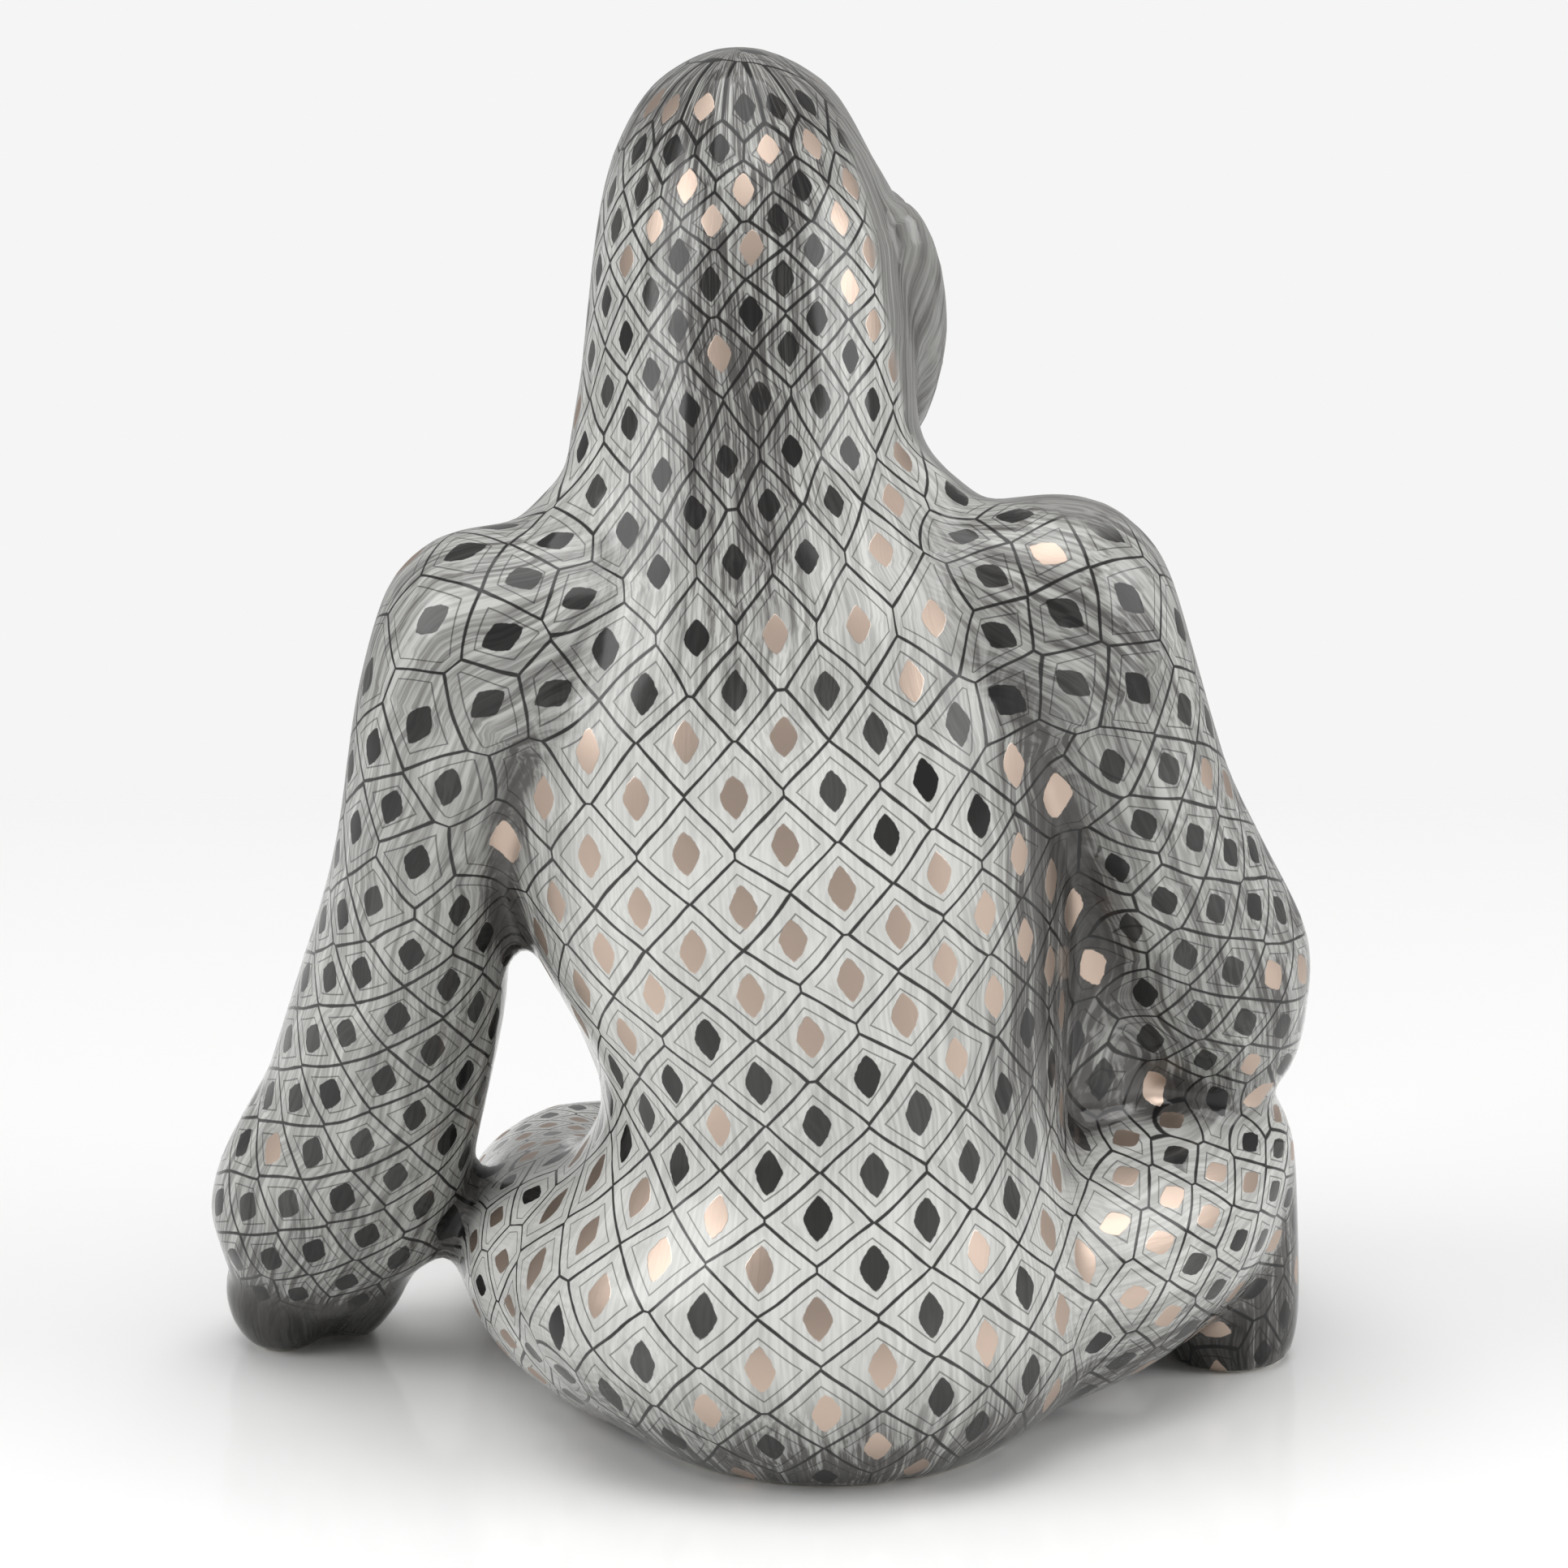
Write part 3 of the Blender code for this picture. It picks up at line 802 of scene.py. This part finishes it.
@dataclass
class Corners:
    """The corners of the skin's faces, which hold what jumps from face to face.

    Attributes:
        skin: the surface.
        vertex: each corner's point.
        total: the number of corners of each face.
        face: each corner's face.
    """

    skin: Skin
    vertex: np.ndarray = field(init=False)
    total: np.ndarray = field(init=False)
    face: np.ndarray = field(init=False)

    def __post_init__(self) -> None:
        """Read each corner's point and face."""
        mesh = self.skin.mesh
        self.vertex = np.empty(len(mesh.loops), int)
        mesh.loops.foreach_get("vertex_index", self.vertex)
        self.total = np.empty(len(mesh.polygons), int)
        mesh.polygons.foreach_get("loop_total", self.total)
        self.face = np.repeat(np.arange(len(self.total)), self.total)

    def middles(self, values: np.ndarray) -> np.ndarray:
        """Return the mean over each face of vectors given at the points."""
        sums = [np.bincount(self.face, values[self.vertex, i]) for i in range(3)]
        return np.column_stack(sums) / self.total[:, None]

    def store(self, name: str, values: np.ndarray) -> None:
        """Store rows of three or four numbers on the mesh's corners."""
        kind, key = ("FLOAT_VECTOR", "vector") if values.shape[1] == 3 else ("FLOAT_COLOR", "color")
        attribute = self.skin.mesh.attributes.new(name, kind, "CORNER")
        attribute.data.foreach_set(key, values.astype(np.float32).ravel())


@dataclass
class AccentPlan:
    """Which accents are black and which are metal, by the part of the body.

    Attributes:
        seed: the start of the random choice.
    """

    seed: int = 7

    def kinds(self, net: PaintedNet) -> np.ndarray:
        """Return a number for each cell: under 0.5 a black accent, over 0.5 a metal one, with its tone."""
        chance = np.random.default_rng(self.seed)
        draw = chance.random(len(net.seeds))
        tone = chance.random(len(net.seeds))
        share = np.array([self.metal_share(limb, z) for limb, z in zip(net.limbs, net.seeds[:, 2])])
        return np.where(draw < share, 0.6 + 0.4 * tone, 0.4 * tone)

    def metal_share(self, limb: int, height_mm: float) -> float:
        """Return the share of metal accents at a height on a limb."""
        coat = list(LIMBS.values())[limb].coat
        if coat is Coat.ARM:
            return 0.13
        if coat is Coat.THIGH:
            return 0.55
        if coat is Coat.SHIN:
            return 0.25
        heights = (0, 8, 14, 22, 27, 33, 40, 56, 64, 74, 84, 104, 111)
        shares = (0.3, 0.5, 0.65, 0.55, 0.1, 0.25, 0.95, 0.85, 0.2, 0.18, 0.25, 0.35, 0.5)
        return float(np.interp(height_mm, heights, shares))


@dataclass
class Painting:
    """The washes, with painted shade: how dark each place is, which way its hairs run and where the net is
    left off.

    A shade is 0 where the white shows, 1 where the grey covers it, and more where it turns black.

    Attributes:
        skin: the surface that is painted.
        skin_shade: the shade of the hands and feet.
        face_shade: the shade of the bare face.
        features_shade: what the skin round the eyes, nose and mouth adds to it.
    """

    skin: Skin
    skin_shade: float = 1.4
    face_shade: float = 0.82
    features_shade: float = 0.53

    def draw(self) -> None:
        """Store "wash" (shade, bare skin, hollow) on the points, and the hairs on the corners."""
        skin = self.skin
        face, features = self._face()
        bare = np.maximum(skin.smoothed(skin.mask(Coat.SKIN), 3), face)
        shade = skin.mask(Coat.BACK) * self._trunk_shade() + skin.mask(Coat.ARM) * self._arm_shade()
        shade += skin.mask(Coat.THIGH) * self._thigh_shade() + skin.mask(Coat.SHIN) * self._shin_shade()
        shade += skin.mask(Coat.SKIN) * self.skin_shade
        shade = skin.smoothed(shade, 16)
        shade = shade * (1 - face) + (self.face_shade + self.features_shade * features) * face
        # Painted shade: every coat is darker toward the ground.
        shade += 0.3 * ramp(skin.points[:, 2], 12, 1)
        values = np.column_stack([shade, bare, skin.hollow]).astype(np.float32)
        skin.mesh.attributes.new("wash", "FLOAT_VECTOR", "POINT").data.foreach_set("vector", values.ravel())
        self._draw_hairs()

    def _draw_hairs(self) -> None:
        """Store the drum places on the two nearest limbs, with the first one's share of the brushwork."""
        corners = Corners(self.skin)
        order = self.skin.share.argsort(axis=0)[:2]
        starts = np.r_[0, np.cumsum(corners.total)[:-1]]
        first, second = order[:, corners.vertex[starts]][:, corners.face]
        drums = np.array([chart.drum for chart in self.skin.charts])
        gap = self.skin.share[second, corners.vertex] - self.skin.share[first, corners.vertex]
        lead = 0.5 + 0.5 * np.sign(gap) * ramp(np.abs(gap), 0, 0.3)
        corners.store("hairs", np.column_stack([drums[first, corners.vertex], lead]))
        corners.store("hairs_under", drums[second, corners.vertex])

    def _arm_shade(self) -> np.ndarray:
        """Return the shade of the arms: darkest at the shoulders, the wrist and the right elbow."""
        x, _, z = self.skin.points.T
        shade = 0.54 + 0.16 * ramp(z, 20, 10) + 0.1 * ramp(z, 58, 66)
        return shade + ramp(x, 0, -10) * (0.05 + 0.14 * ramp(z, 46, 38))

    def _thigh_shade(self) -> np.ndarray:
        """Return the shade of the thighs: darker low down on the right."""
        x, _, z = self.skin.points.T
        return 0.14 + 0.17 * ramp(x, 0, -15) + 0.5 * ramp(x, -20, -30) * ramp(z, 14, 6)

    def _shin_shade(self) -> np.ndarray:
        """Return the shade of the shins: darker on the right."""
        return 0.72 + 0.5 * ramp(self.skin.points[:, 0], 0, -20)

    def _trunk_shade(self) -> np.ndarray:
        """Return the shade of the head, neck, back and rump, with painted shade on the flanks and near the
        ground.
        """
        x, y, z = self.skin.points.T
        # The lowest heights are darker as painted shade near the ground.
        heights = (0, 4, 12, 18, 24, 30, 40, 52, 60, 68, 76, 84, 96, 103, 111)
        shades = (0.85, 0.72, 0.25, 0.12, 0.15, 0.28, 0.18, 0.08, 0.22, 0.6, 0.85, 0.87, 0.83, 0.86, 0.95)
        column = np.interp(z, heights, shades)
        column -= 0.45 * ramp(np.abs(x - 1.5), 2.5, 10) * ramp(z, 62, 74) * ramp(z, 106, 98)
        # Painted shade: the back darkens at its flanks toward the arms, the right one more.
        column += (0.12 * ramp(x, -10, -15) + 0.4 * ramp(x, -19, -24)) * ramp(z, 28, 38) * ramp(z, 72, 62)
        flank = ramp(np.abs(x + 2), 13, 22) * (0.2 + 0.4 * ramp(z, 20, 32)) * ramp(z, 74, 66)
        front = ramp(y, 14, -4) * 0.34 * ramp(z, 18, 34) * ramp(z, 82, 72)
        return np.clip(column + np.maximum(flank, front), 0, 1.1)

    def _face(self) -> tuple[np.ndarray, np.ndarray]:
        """Find the face.

        Returns:
            1 on the bare face and the bare hair beside it, and 1 on the dark skin round its features.
        """
        side, forward, up = HEAD.inside(self.skin.points).T
        reach = np.sqrt((side / 13) ** 2 + ((up + 2.5) / 13) ** 2)
        face = ramp(forward - 4 * reach, -1.6, 0.2) * ramp(up, -17, -15)
        features = ramp(np.sqrt((side / 7.6) ** 2 + ((up + 3.4) / 10.2) ** 2), 1.08, 0.8)
        return face, features


# Finishes


@dataclass(frozen=True)
class FacePaint:
    """The eyes, nostrils and mouth painted over the bare face, and painted shade round the eyes, nostrils and
    temples.

    A place is how far it is from the middle and how high. A size is a half width and a half height.

    Attributes:
        eye_mm: an eye's place.
        eye_size_mm: its size.
        socket_size_mm: the size of the painted shade in the socket round it.
        iris_mm: the iris's radius.
        pupil_share: the pupil's radius over the iris's.
        temple_mm: the place of the painted shade in the hollow at the temples.
        temple_size_mm: its size.
        nostril_mm: a nostril's place.
        nostril_size_mm: its size.
        wing_mm: the place of the painted shade round the nostril.
        wing_size_mm: its size.
        mouth_mm: the mouth's half width, and its height in the middle.
        soft: how strong the painted shade round the eyes, the nostrils and at the temples is.
        iris: the iris's colour.
        black: the colour of all else.
    """

    eye_mm: Pair = (3.9, 1.3)
    eye_size_mm: Pair = (1.5, 1.0)
    socket_size_mm: Pair = (3.6, 2.9)
    iris_mm: float = 0.85
    pupil_share: float = 0.45
    temple_mm: Pair = (8.3, 0.9)
    temple_size_mm: Pair = (0.9, 2.6)
    nostril_mm: Pair = (2.3, -4.7)
    nostril_size_mm: Pair = (1.25, 0.8)
    wing_mm: Pair = (2.6, -4.2)
    wing_size_mm: Pair = (2.8, 2.4)
    mouth_mm: Pair = (6.2, -9.9)
    soft: float = 0.6
    iris: Colour = (0.03, 0.015, 0.009, 1)
    black: Colour = (0.01, 0.01, 0.01, 1)

    def over(self, paint: "PaintBook", where: bpy.types.NodeSocket, colour: Any) -> Any:
        """Return the colour with the face's features painted over it."""
        place = paint.vector_math("SUBTRACT", a=where, b=HEAD.centre_mm).outputs[0]
        measures = [paint.vector_math("DOT_PRODUCT", a=place, b=tuple(way)) for way in HEAD.axes()]
        side, forward, up = [Value(paint, measure.outputs["Value"]) for measure in measures]
        front = forward.rising(10.5, 11.5)
        side = abs(side)
        eye = spot(side, up, self.eye_mm, self.eye_size_mm) * front
        iris = spot(side, up, self.eye_mm, (self.iris_mm, self.iris_mm)) * eye
        pupil_mm = self.pupil_share * self.iris_mm
        pupil = spot(side, up, self.eye_mm, (pupil_mm, pupil_mm)) * eye
        nostril = spot(side, up, self.nostril_mm, self.nostril_size_mm) * forward.rising(13, 14)
        half, height = self.mouth_mm
        off = abs(up - height + side * side * 0.02)
        mouth = (1 - off.rising(0.15, 0.4)) * (1 - side.rising(half - 0.8, half)) * front
        # Painted shade in the eye sockets, round the nostrils and in the hollows at the temples.
        socket = 1 - spread(side, up, self.eye_mm, self.socket_size_mm).rising(0.1, 1.3)
        nostril_shade = 1 - spread(side, up, self.wing_mm, self.wing_size_mm).rising(0.2, 1.3)
        temple_shade = 1 - spread(side + up * 0.15, up, self.temple_mm, self.temple_size_mm).rising(0.3, 1.2)
        colour = paint.blend(socket.most(nostril_shade).most(temple_shade) * front * self.soft, colour, self.black)
        colour = paint.blend(eye.most(nostril).most(mouth), colour, self.black)
        colour = paint.blend(iris, colour, self.iris)
        return paint.blend(pupil, colour, self.black)


def spread(x: Value, y: Value, middle: Pair, size: Pair) -> Value:
    """Return the squared distance from an oval's middle, which is 1 on the oval."""
    across, up = (x - middle[0]) / size[0], (y - middle[1]) / size[1]
    return across * across + up * up


def spot(x: Value, y: Value, middle: Pair, size: Pair) -> Value:
    """Return 1 inside an oval and 0 outside it."""
    return 1 - spread(x, y, middle, size).rising(0.85, 1.15)


@dataclass(frozen=True)
class PaintedGlaze:
    """White porcelain with grey washes and painted shade, a thin dark net, black and metal accents and a clear
    glaze.

    Attributes:
        white: the glazed porcelain.
        grey: the full grey wash.
        deep: the darkest wash, on the hands and feet, and where painted shade deepens the creases and the
            ground.
        ink: the net's lines and the black accents.
        metal: the metal accents.
        biscuit: the unglazed rim that the figure stands on.
        line_mm: the half width of the net's lines.
        inner_line_mm: the half width of the thin lines inside them.
        inner_inset_mm: how far in these run, in a cell of the usual width.
        accent_half_width: an accent's half width over the usual width of a cell.
        accent_half_height: its half height, the same way.
        accent_power: how full its corners are: 1 gives straight sides and 2 an oval.
    """

    white: Colour = (0.74, 0.745, 0.715, 1)
    grey: Colour = (0.105, 0.1, 0.095, 1)
    deep: Colour = (0.026, 0.025, 0.023, 1)
    ink: Colour = (0.012, 0.011, 0.011, 1)
    metal: Colour = (0.53, 0.42, 0.35, 1)
    biscuit: Colour = (0.74, 0.70, 0.64, 1)
    line_mm: float = 0.13
    inner_line_mm: float = 0.05
    inner_inset_mm: float = 0.95
    accent_half_width: float = 0.142
    accent_half_height: float = 0.222
    accent_power: float = 1.35

    def strokes(self, paint: PaintBook, where: bpy.types.NodeSocket) -> tuple[Value, Value]:
        """Return fine hairs and broad brush strokes, which run the way the fur lies."""
        first = paint.attribute("hairs")
        second = paint.attribute("hairs_under")
        lead = Value(paint, first.outputs["Alpha"])
        wander = paint.noise(where, 0.13, 1.0) * 3.0
        stray = paint.vector_math("SCALE", a=(1.0, 0.7, 0.0), scale=wander).outputs[0]
        layers = []
        for scale, stretch, detail in ((3.3, 0.03, 2.0), (0.9, 0.07, 1.0)):
            layer: Any = 0.0
            for node, share in ((first, lead), (second, 1 - lead)):
                strayed = paint.vector_math("ADD", a=node.outputs["Vector"], b=stray).outputs[0]
                drawn = paint.vector_math("MULTIPLY", a=strayed, b=(1.0, 1.0, stretch)).outputs[0]
                layer = layer + share * paint.noise(drawn, scale, detail, 0.55)
            layers.append(layer)
        return layers[0], layers[1]

    def build(self) -> bpy.types.Material:
        """Return the material of the whole figure."""
        paint = PaintBook("painted_glaze")
        where = paint.place_mm()
        shade, bare, hollow = paint.parts(paint.attribute("wash").outputs["Vector"])
        hairs, streaks = self.strokes(paint, where)
        patches = paint.noise(where, 0.16, 2.0)
        covered = 1 - bare

        # The hollow darkens creases and recesses as painted shade.
        depth = shade + (patches - 0.5) * 0.2 + hollow * 0.75
        fine = (hairs.rising(0.34, 0.66) - 0.5) * (0.08 + 0.5 * shade)
        broad = (streaks.rising(0.3, 0.7) - 0.5) * (0.04 + 0.4 * shade)
        wash = depth + (fine + broad) * (1 - 0.62 * bare)
        colour = paint.blend(wash.clamped(), self.white, self.grey)
        colour = paint.blend((wash - 0.95).clamped(), colour, self.deep)

        edge = self.edge_distance(paint)
        hand = paint.noise(where, 0.7, 1.0)
        half = self.line_mm * (0.55 + 0.9 * hand)
        line = (1 - edge.rising(half - 0.05, half + 0.05)) * covered
        motif = paint.attribute("motif")
        across, along, kind = paint.parts(motif.outputs["Vector"])
        size = Value(paint, motif.outputs["Alpha"])
        inset = abs(edge - self.inner_inset_mm * size)
        inner = (1 - inset.rising(self.inner_line_mm - 0.03, self.inner_line_mm + 0.05)) * covered
        colour = paint.blend((line * 0.95).most(inner * 0.66), colour, self.ink)

        aside, ahead = abs(across) / self.accent_half_width, abs(along) / self.accent_half_height
        reach = aside**self.accent_power + ahead**self.accent_power
        ragged = (paint.noise(where, 1.6, 2.0) - 0.5) * 0.3
        accent = (1 - (reach + ragged).rising(0.94, 1.06)) * covered
        metallic = kind.rising(0.49, 0.51) * accent
        black = accent - metallic
        colour = paint.blend(black * (0.995 - 0.3 * kind), colour, self.ink)
        colour = paint.blend(metallic, colour, self.metal)
        colour = FacePaint().over(paint, where, colour)

        ground = where_below(paint, where, 0.25)
        colour = paint.blend(ground, colour, self.biscuit)
        relief = metallic * (0.6 + 0.8 * hairs) + line * 0.4 + patches * 0.5
        bump = paint.node("ShaderNodeBump", inputs={"Strength": 0.25, "Distance": 0.00006, "Height": relief})
        skin = paint.node(
            "ShaderNodeBsdfPrincipled",
            inputs={
                "Base Color": colour,
                "Metallic": metallic,
                "Roughness": 0.12 + metallic * 0.3 + ground * 0.5,
                "Specular IOR Level": 0.32,
                "Normal": bump.outputs[0],
            },
        )
        return paint.finish(skin.outputs[0])

    def edge_distance(self, paint: PaintBook) -> Value:
        """Return the distance to the net's nearest line, in millimetres."""
        net = paint.attribute("net")
        a, b, c = paint.parts(net.outputs["Vector"])
        d = Value(paint, net.outputs["Alpha"])
        first, second = a.least(b), c.least(d)
        return first.most(second).least(a.most(b).least(c.most(d))) - first.least(second)


def where_below(paint: PaintBook, where: bpy.types.NodeSocket, height_mm: float) -> Value:
    """Return 1 below a height and 0 above it."""
    return 1 - paint.parts(where)[2].rising(height_mm - 0.05, height_mm + 0.05)


@dataclass(frozen=True)
class PaleFloor:
    """The glossy pale surface the figure sits on.

    Attributes:
        colour: its colour.
        roughness: how dull its sheen is.
        edge_mm: how far in front of the figure it fades out.
        fade_mm: half the width of the fade.
    """

    colour: Colour = (0.96, 0.965, 0.958, 1)
    roughness: float = 0.12
    edge_mm: float = 175.0
    fade_mm: float = 16.0

    def build(self) -> bpy.types.Material:
        """Return the floor's material."""
        paint = PaintBook("pale_floor")
        skin = paint.node(
            "ShaderNodeBsdfPrincipled",
            inputs={"Base Color": self.colour, "Roughness": self.roughness, "Specular IOR Level": 0.35},
        )
        along = paint.parts(paint.place_mm())[1]
        near = along.rising(-self.edge_mm - self.fade_mm, -self.edge_mm + self.fade_mm)
        clear = paint.node("ShaderNodeBsdfTransparent").outputs[0]
        surface = paint.node("ShaderNodeMixShader", inputs={0: near, 1: clear, 2: skin.outputs[0]})
        return paint.finish(surface.outputs[0])


# Pieces


@dataclass
class GlazedBody:
    """The whole figure in one skin, made finer from the cast solid.

    Attributes:
        voxel_mm: the size of the fine skin's faces.
        smoothing: rounds of smoothing after the skin is laid.
        cheek_place_mm: a cheek's middle, to the side, forward and up from the head's.
        cheek_size_mm: its half width, half depth and half height.
        cheek_lean: how far its top leans to the side and forward, over its height.
        settle_up_mm: heights on the face.
        settle_back_mm: how far it is set back there.
        settle_half_width_mm: how far from its middle line that fades out.
        node: the name of the cast solid.
    """

    voxel_mm: float = 0.65
    smoothing: int = 3
    cheek_place_mm: Triple = (6.7, 9.95, -3.8)
    cheek_size_mm: Triple = (4.3, 4.3, 11.8)
    cheek_lean: Pair = (0.27, -0.19)
    settle_up_mm: tuple[float, ...] = (-18, -16, -12.5, -8, -4, 0, 4.5, 7, 10.5, 14, 17)
    settle_back_mm: tuple[float, ...] = (0, 0.7, 1.1, 0.8, 0, 0, 0.6, 0.4, 1.1, 0.7, 0)
    settle_half_width_mm: float = 11.0
    node: str = "gorilla"

    def build(self) -> bpy.types.Object:
        """Make, paint and place the body.

        Returns:
            The finished object.
        """
        body = self._copy()
        self._add_cheeks(body)
        self._refine(body)
        self._settle_face(body)
        skin = Skin(body.data)
        net = PaintedNet(skin)
        net.plan()
        net.draw(AccentPlan())
        Painting(skin).draw()
        body.data.materials.clear()
        body.data.materials.append(PaintedGlaze().build())
        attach(body, "root")
        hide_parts(self.node)
        LOG.info("body: %d faces, %d cells", len(body.data.polygons), len(net.seeds))
        return body

    def _copy(self) -> bpy.types.Object:
        """Return a merged copy of the cast solid, selected by itself."""
        source = bpy.data.objects[self.node]
        body = bpy.data.objects.new("glazed_body", source.data.copy())
        bpy.context.scene.collection.objects.link(body)
        select_only(body)
        bpy.ops.object.mode_set(mode="EDIT")
        bpy.ops.mesh.select_all(action="SELECT")
        bpy.ops.mesh.remove_doubles(threshold=1e-6)
        bpy.ops.object.mode_set(mode="OBJECT")
        return body

    def _add_cheeks(self, body: bpy.types.Object) -> None:
        """Round the facets off, and join a full cheek to each side of the face."""
        round_off = body.modifiers.new("round_off", "SUBSURF")
        round_off.levels = round_off.render_levels = 1
        bpy.ops.object.modifier_apply(modifier="round_off")
        cheeks = []
        across, forward, up = self.cheek_place_mm
        for side in (-1, 1):
            bpy.ops.object.select_all(action="DESELECT")
            place = HEAD.place(side * across, forward, up) * MM
            bpy.ops.mesh.primitive_uv_sphere_add(segments=48, ring_count=24, radius=1, location=place)
            cheek = bpy.context.object
            cheek.scale = Vector(self.cheek_size_mm) * MM
            upright = HEAD.place(side * self.cheek_lean[0], self.cheek_lean[1], 1) - HEAD.place(0, 0, 0)
            cheek.rotation_euler = upright.to_track_quat("Z", "Y").to_euler()
            cheeks.append(cheek)
        select_only(body)
        for cheek in cheeks:
            cheek.select_set(True)
        bpy.ops.object.join()

    def _settle_face(self, body: bpy.types.Object) -> None:
        """Set the crown, the brow, the lips and the chin back a little, fading out beside the face."""
        places = vectors(body.data.vertices, "co")
        side, forward, up = HEAD.inside(places / MM).T
        back = np.interp(up, self.settle_up_mm, self.settle_back_mm)
        back *= np.clip(1 - (side / self.settle_half_width_mm) ** 2, 0, 1) * ramp(forward, 6.5, 10)
        places -= back[:, None] * HEAD.axes()[1] * MM
        body.data.vertices.foreach_set("co", places.ravel())
        body.data.update()

    def _refine(self, body: bpy.types.Object) -> None:
        """Lay one even skin over everything and soften it."""
        even = body.modifiers.new("even", "REMESH")
        even.mode = "VOXEL"
        even.voxel_size = self.voxel_mm * MM
        even.use_smooth_shade = True
        soften = body.modifiers.new("soften", "SMOOTH")
        soften.factor = 0.5
        soften.iterations = self.smoothing
        for name in ("even", "soften"):
            bpy.ops.object.modifier_apply(modifier=name)


def select_only(piece: bpy.types.Object) -> None:
    """Deselect everything, then select the piece and make it active."""
    bpy.ops.object.select_all(action="DESELECT")
    piece.select_set(True)
    bpy.context.view_layer.objects.active = piece


# The studio


@dataclass
class Studio:
    """The floor, the lamps and the camera behind the animal.

    Attributes:
        target: the point in the middle of the picture.
        elevation: how far the camera looks down.
        distance: from the camera to the target.
        frame_width: the width of what the picture shows at the target.
        sensor_mm: the width of the camera's sensor.
        floor_size: the floor's side.
        sky_level: the even light from all round.
        backdrop_level: how bright the camera sees the backdrop.
    """

    target: Triple = (-0.00224, 0.00934, 0.0523)
    elevation: float = math.radians(15)
    distance: float = 0.60
    frame_width: float = 0.1275
    sensor_mm: float = 36.0
    floor_size: float = 6.0
    sky_level: float = 0.40
    backdrop_level: float = 0.913

    def build(self) -> None:
        """Make everything that isn't the object."""
        self._floor()
        self._lamps()
        self._sky()
        self._camera()
        bpy.context.scene.view_settings.view_transform = "Standard"

    def _floor(self) -> None:
        """Lay the floor, whose far edge fades into the backdrop."""
        bpy.ops.object.select_all(action="DESELECT")
        bpy.ops.mesh.primitive_plane_add(size=self.floor_size, location=(0, 0, 0))
        floor = bpy.context.object
        floor.name = "floor"
        floor.data.materials.append(PaleFloor().build())
        floor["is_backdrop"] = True

    def _lamps(self) -> None:
        """Hang three large soft lamps."""
        self._lamp("right", (-0.85, 0.25, 0.45), 0.6, 4.0)
        self._lamp("left", (0.85, 0.35, 0.6), 0.6, 4.5)
        self._lamp("top", (0.0, 0.1, 1.0), 0.8, 5.4)

    def _lamp(self, name: str, place: Sequence[float], size: float, power: float) -> None:
        """Hang one lamp that faces the figure."""
        data = bpy.data.lights.new(name, "AREA")
        data.size = size
        data.energy = power
        lamp = bpy.data.objects.new(name, data)
        bpy.context.scene.collection.objects.link(lamp)
        lamp.location = place
        lamp.rotation_euler = (Vector(self.target) - Vector(place)).to_track_quat("-Z", "Y").to_euler()

    def _sky(self) -> None:
        """Light the scene evenly from all round, and show the camera a pale backdrop."""
        world = bpy.data.worlds.new("studio")
        bpy.context.scene.world = world
        world.use_nodes = True
        tree = world.node_tree
        light = tree.nodes["Background"]
        light.inputs["Color"].default_value = (1, 1, 1, 1)
        light.inputs["Strength"].default_value = self.sky_level
        backdrop = tree.nodes.new("ShaderNodeBackground")
        backdrop.inputs["Color"].default_value = (*[self.backdrop_level] * 3, 1)
        choice = tree.nodes.new("ShaderNodeMixShader")
        path = tree.nodes.new("ShaderNodeLightPath")
        tree.links.new(path.outputs["Is Camera Ray"], choice.inputs[0])
        tree.links.new(light.outputs[0], choice.inputs[1])
        tree.links.new(backdrop.outputs[0], choice.inputs[2])
        tree.links.new(choice.outputs[0], tree.nodes["World Output"].inputs["Surface"])

    def _camera(self) -> None:
        """Set the camera up behind the animal, looking a little down."""
        data = bpy.data.cameras.new("camera")
        data.sensor_width = self.sensor_mm
        data.lens = self.sensor_mm * self.distance / self.frame_width
        data.clip_start = 0.01
        camera = bpy.data.objects.new("camera", data)
        bpy.context.scene.collection.objects.link(camera)
        back = Vector((0, math.cos(self.elevation), math.sin(self.elevation)))
        camera.location = Vector(self.target) + back * self.distance
        camera.rotation_euler = (-back).to_track_quat("-Z", "Y").to_euler()
        bpy.context.scene.camera = camera


def main() -> None:
    """Build the figure and the studio."""
    logging.basicConfig(level=logging.INFO)
    GlazedBody().build()
    Studio().build()
    LOG.info("studio: floor, lamps and camera")
    boxes = {"cad": CAD_BOX, "visual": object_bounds()}
    plain = {name: [[float(v) for v in corner] for corner in box] for name, box in boxes.items()}


if __name__ == "__main__":
    main()
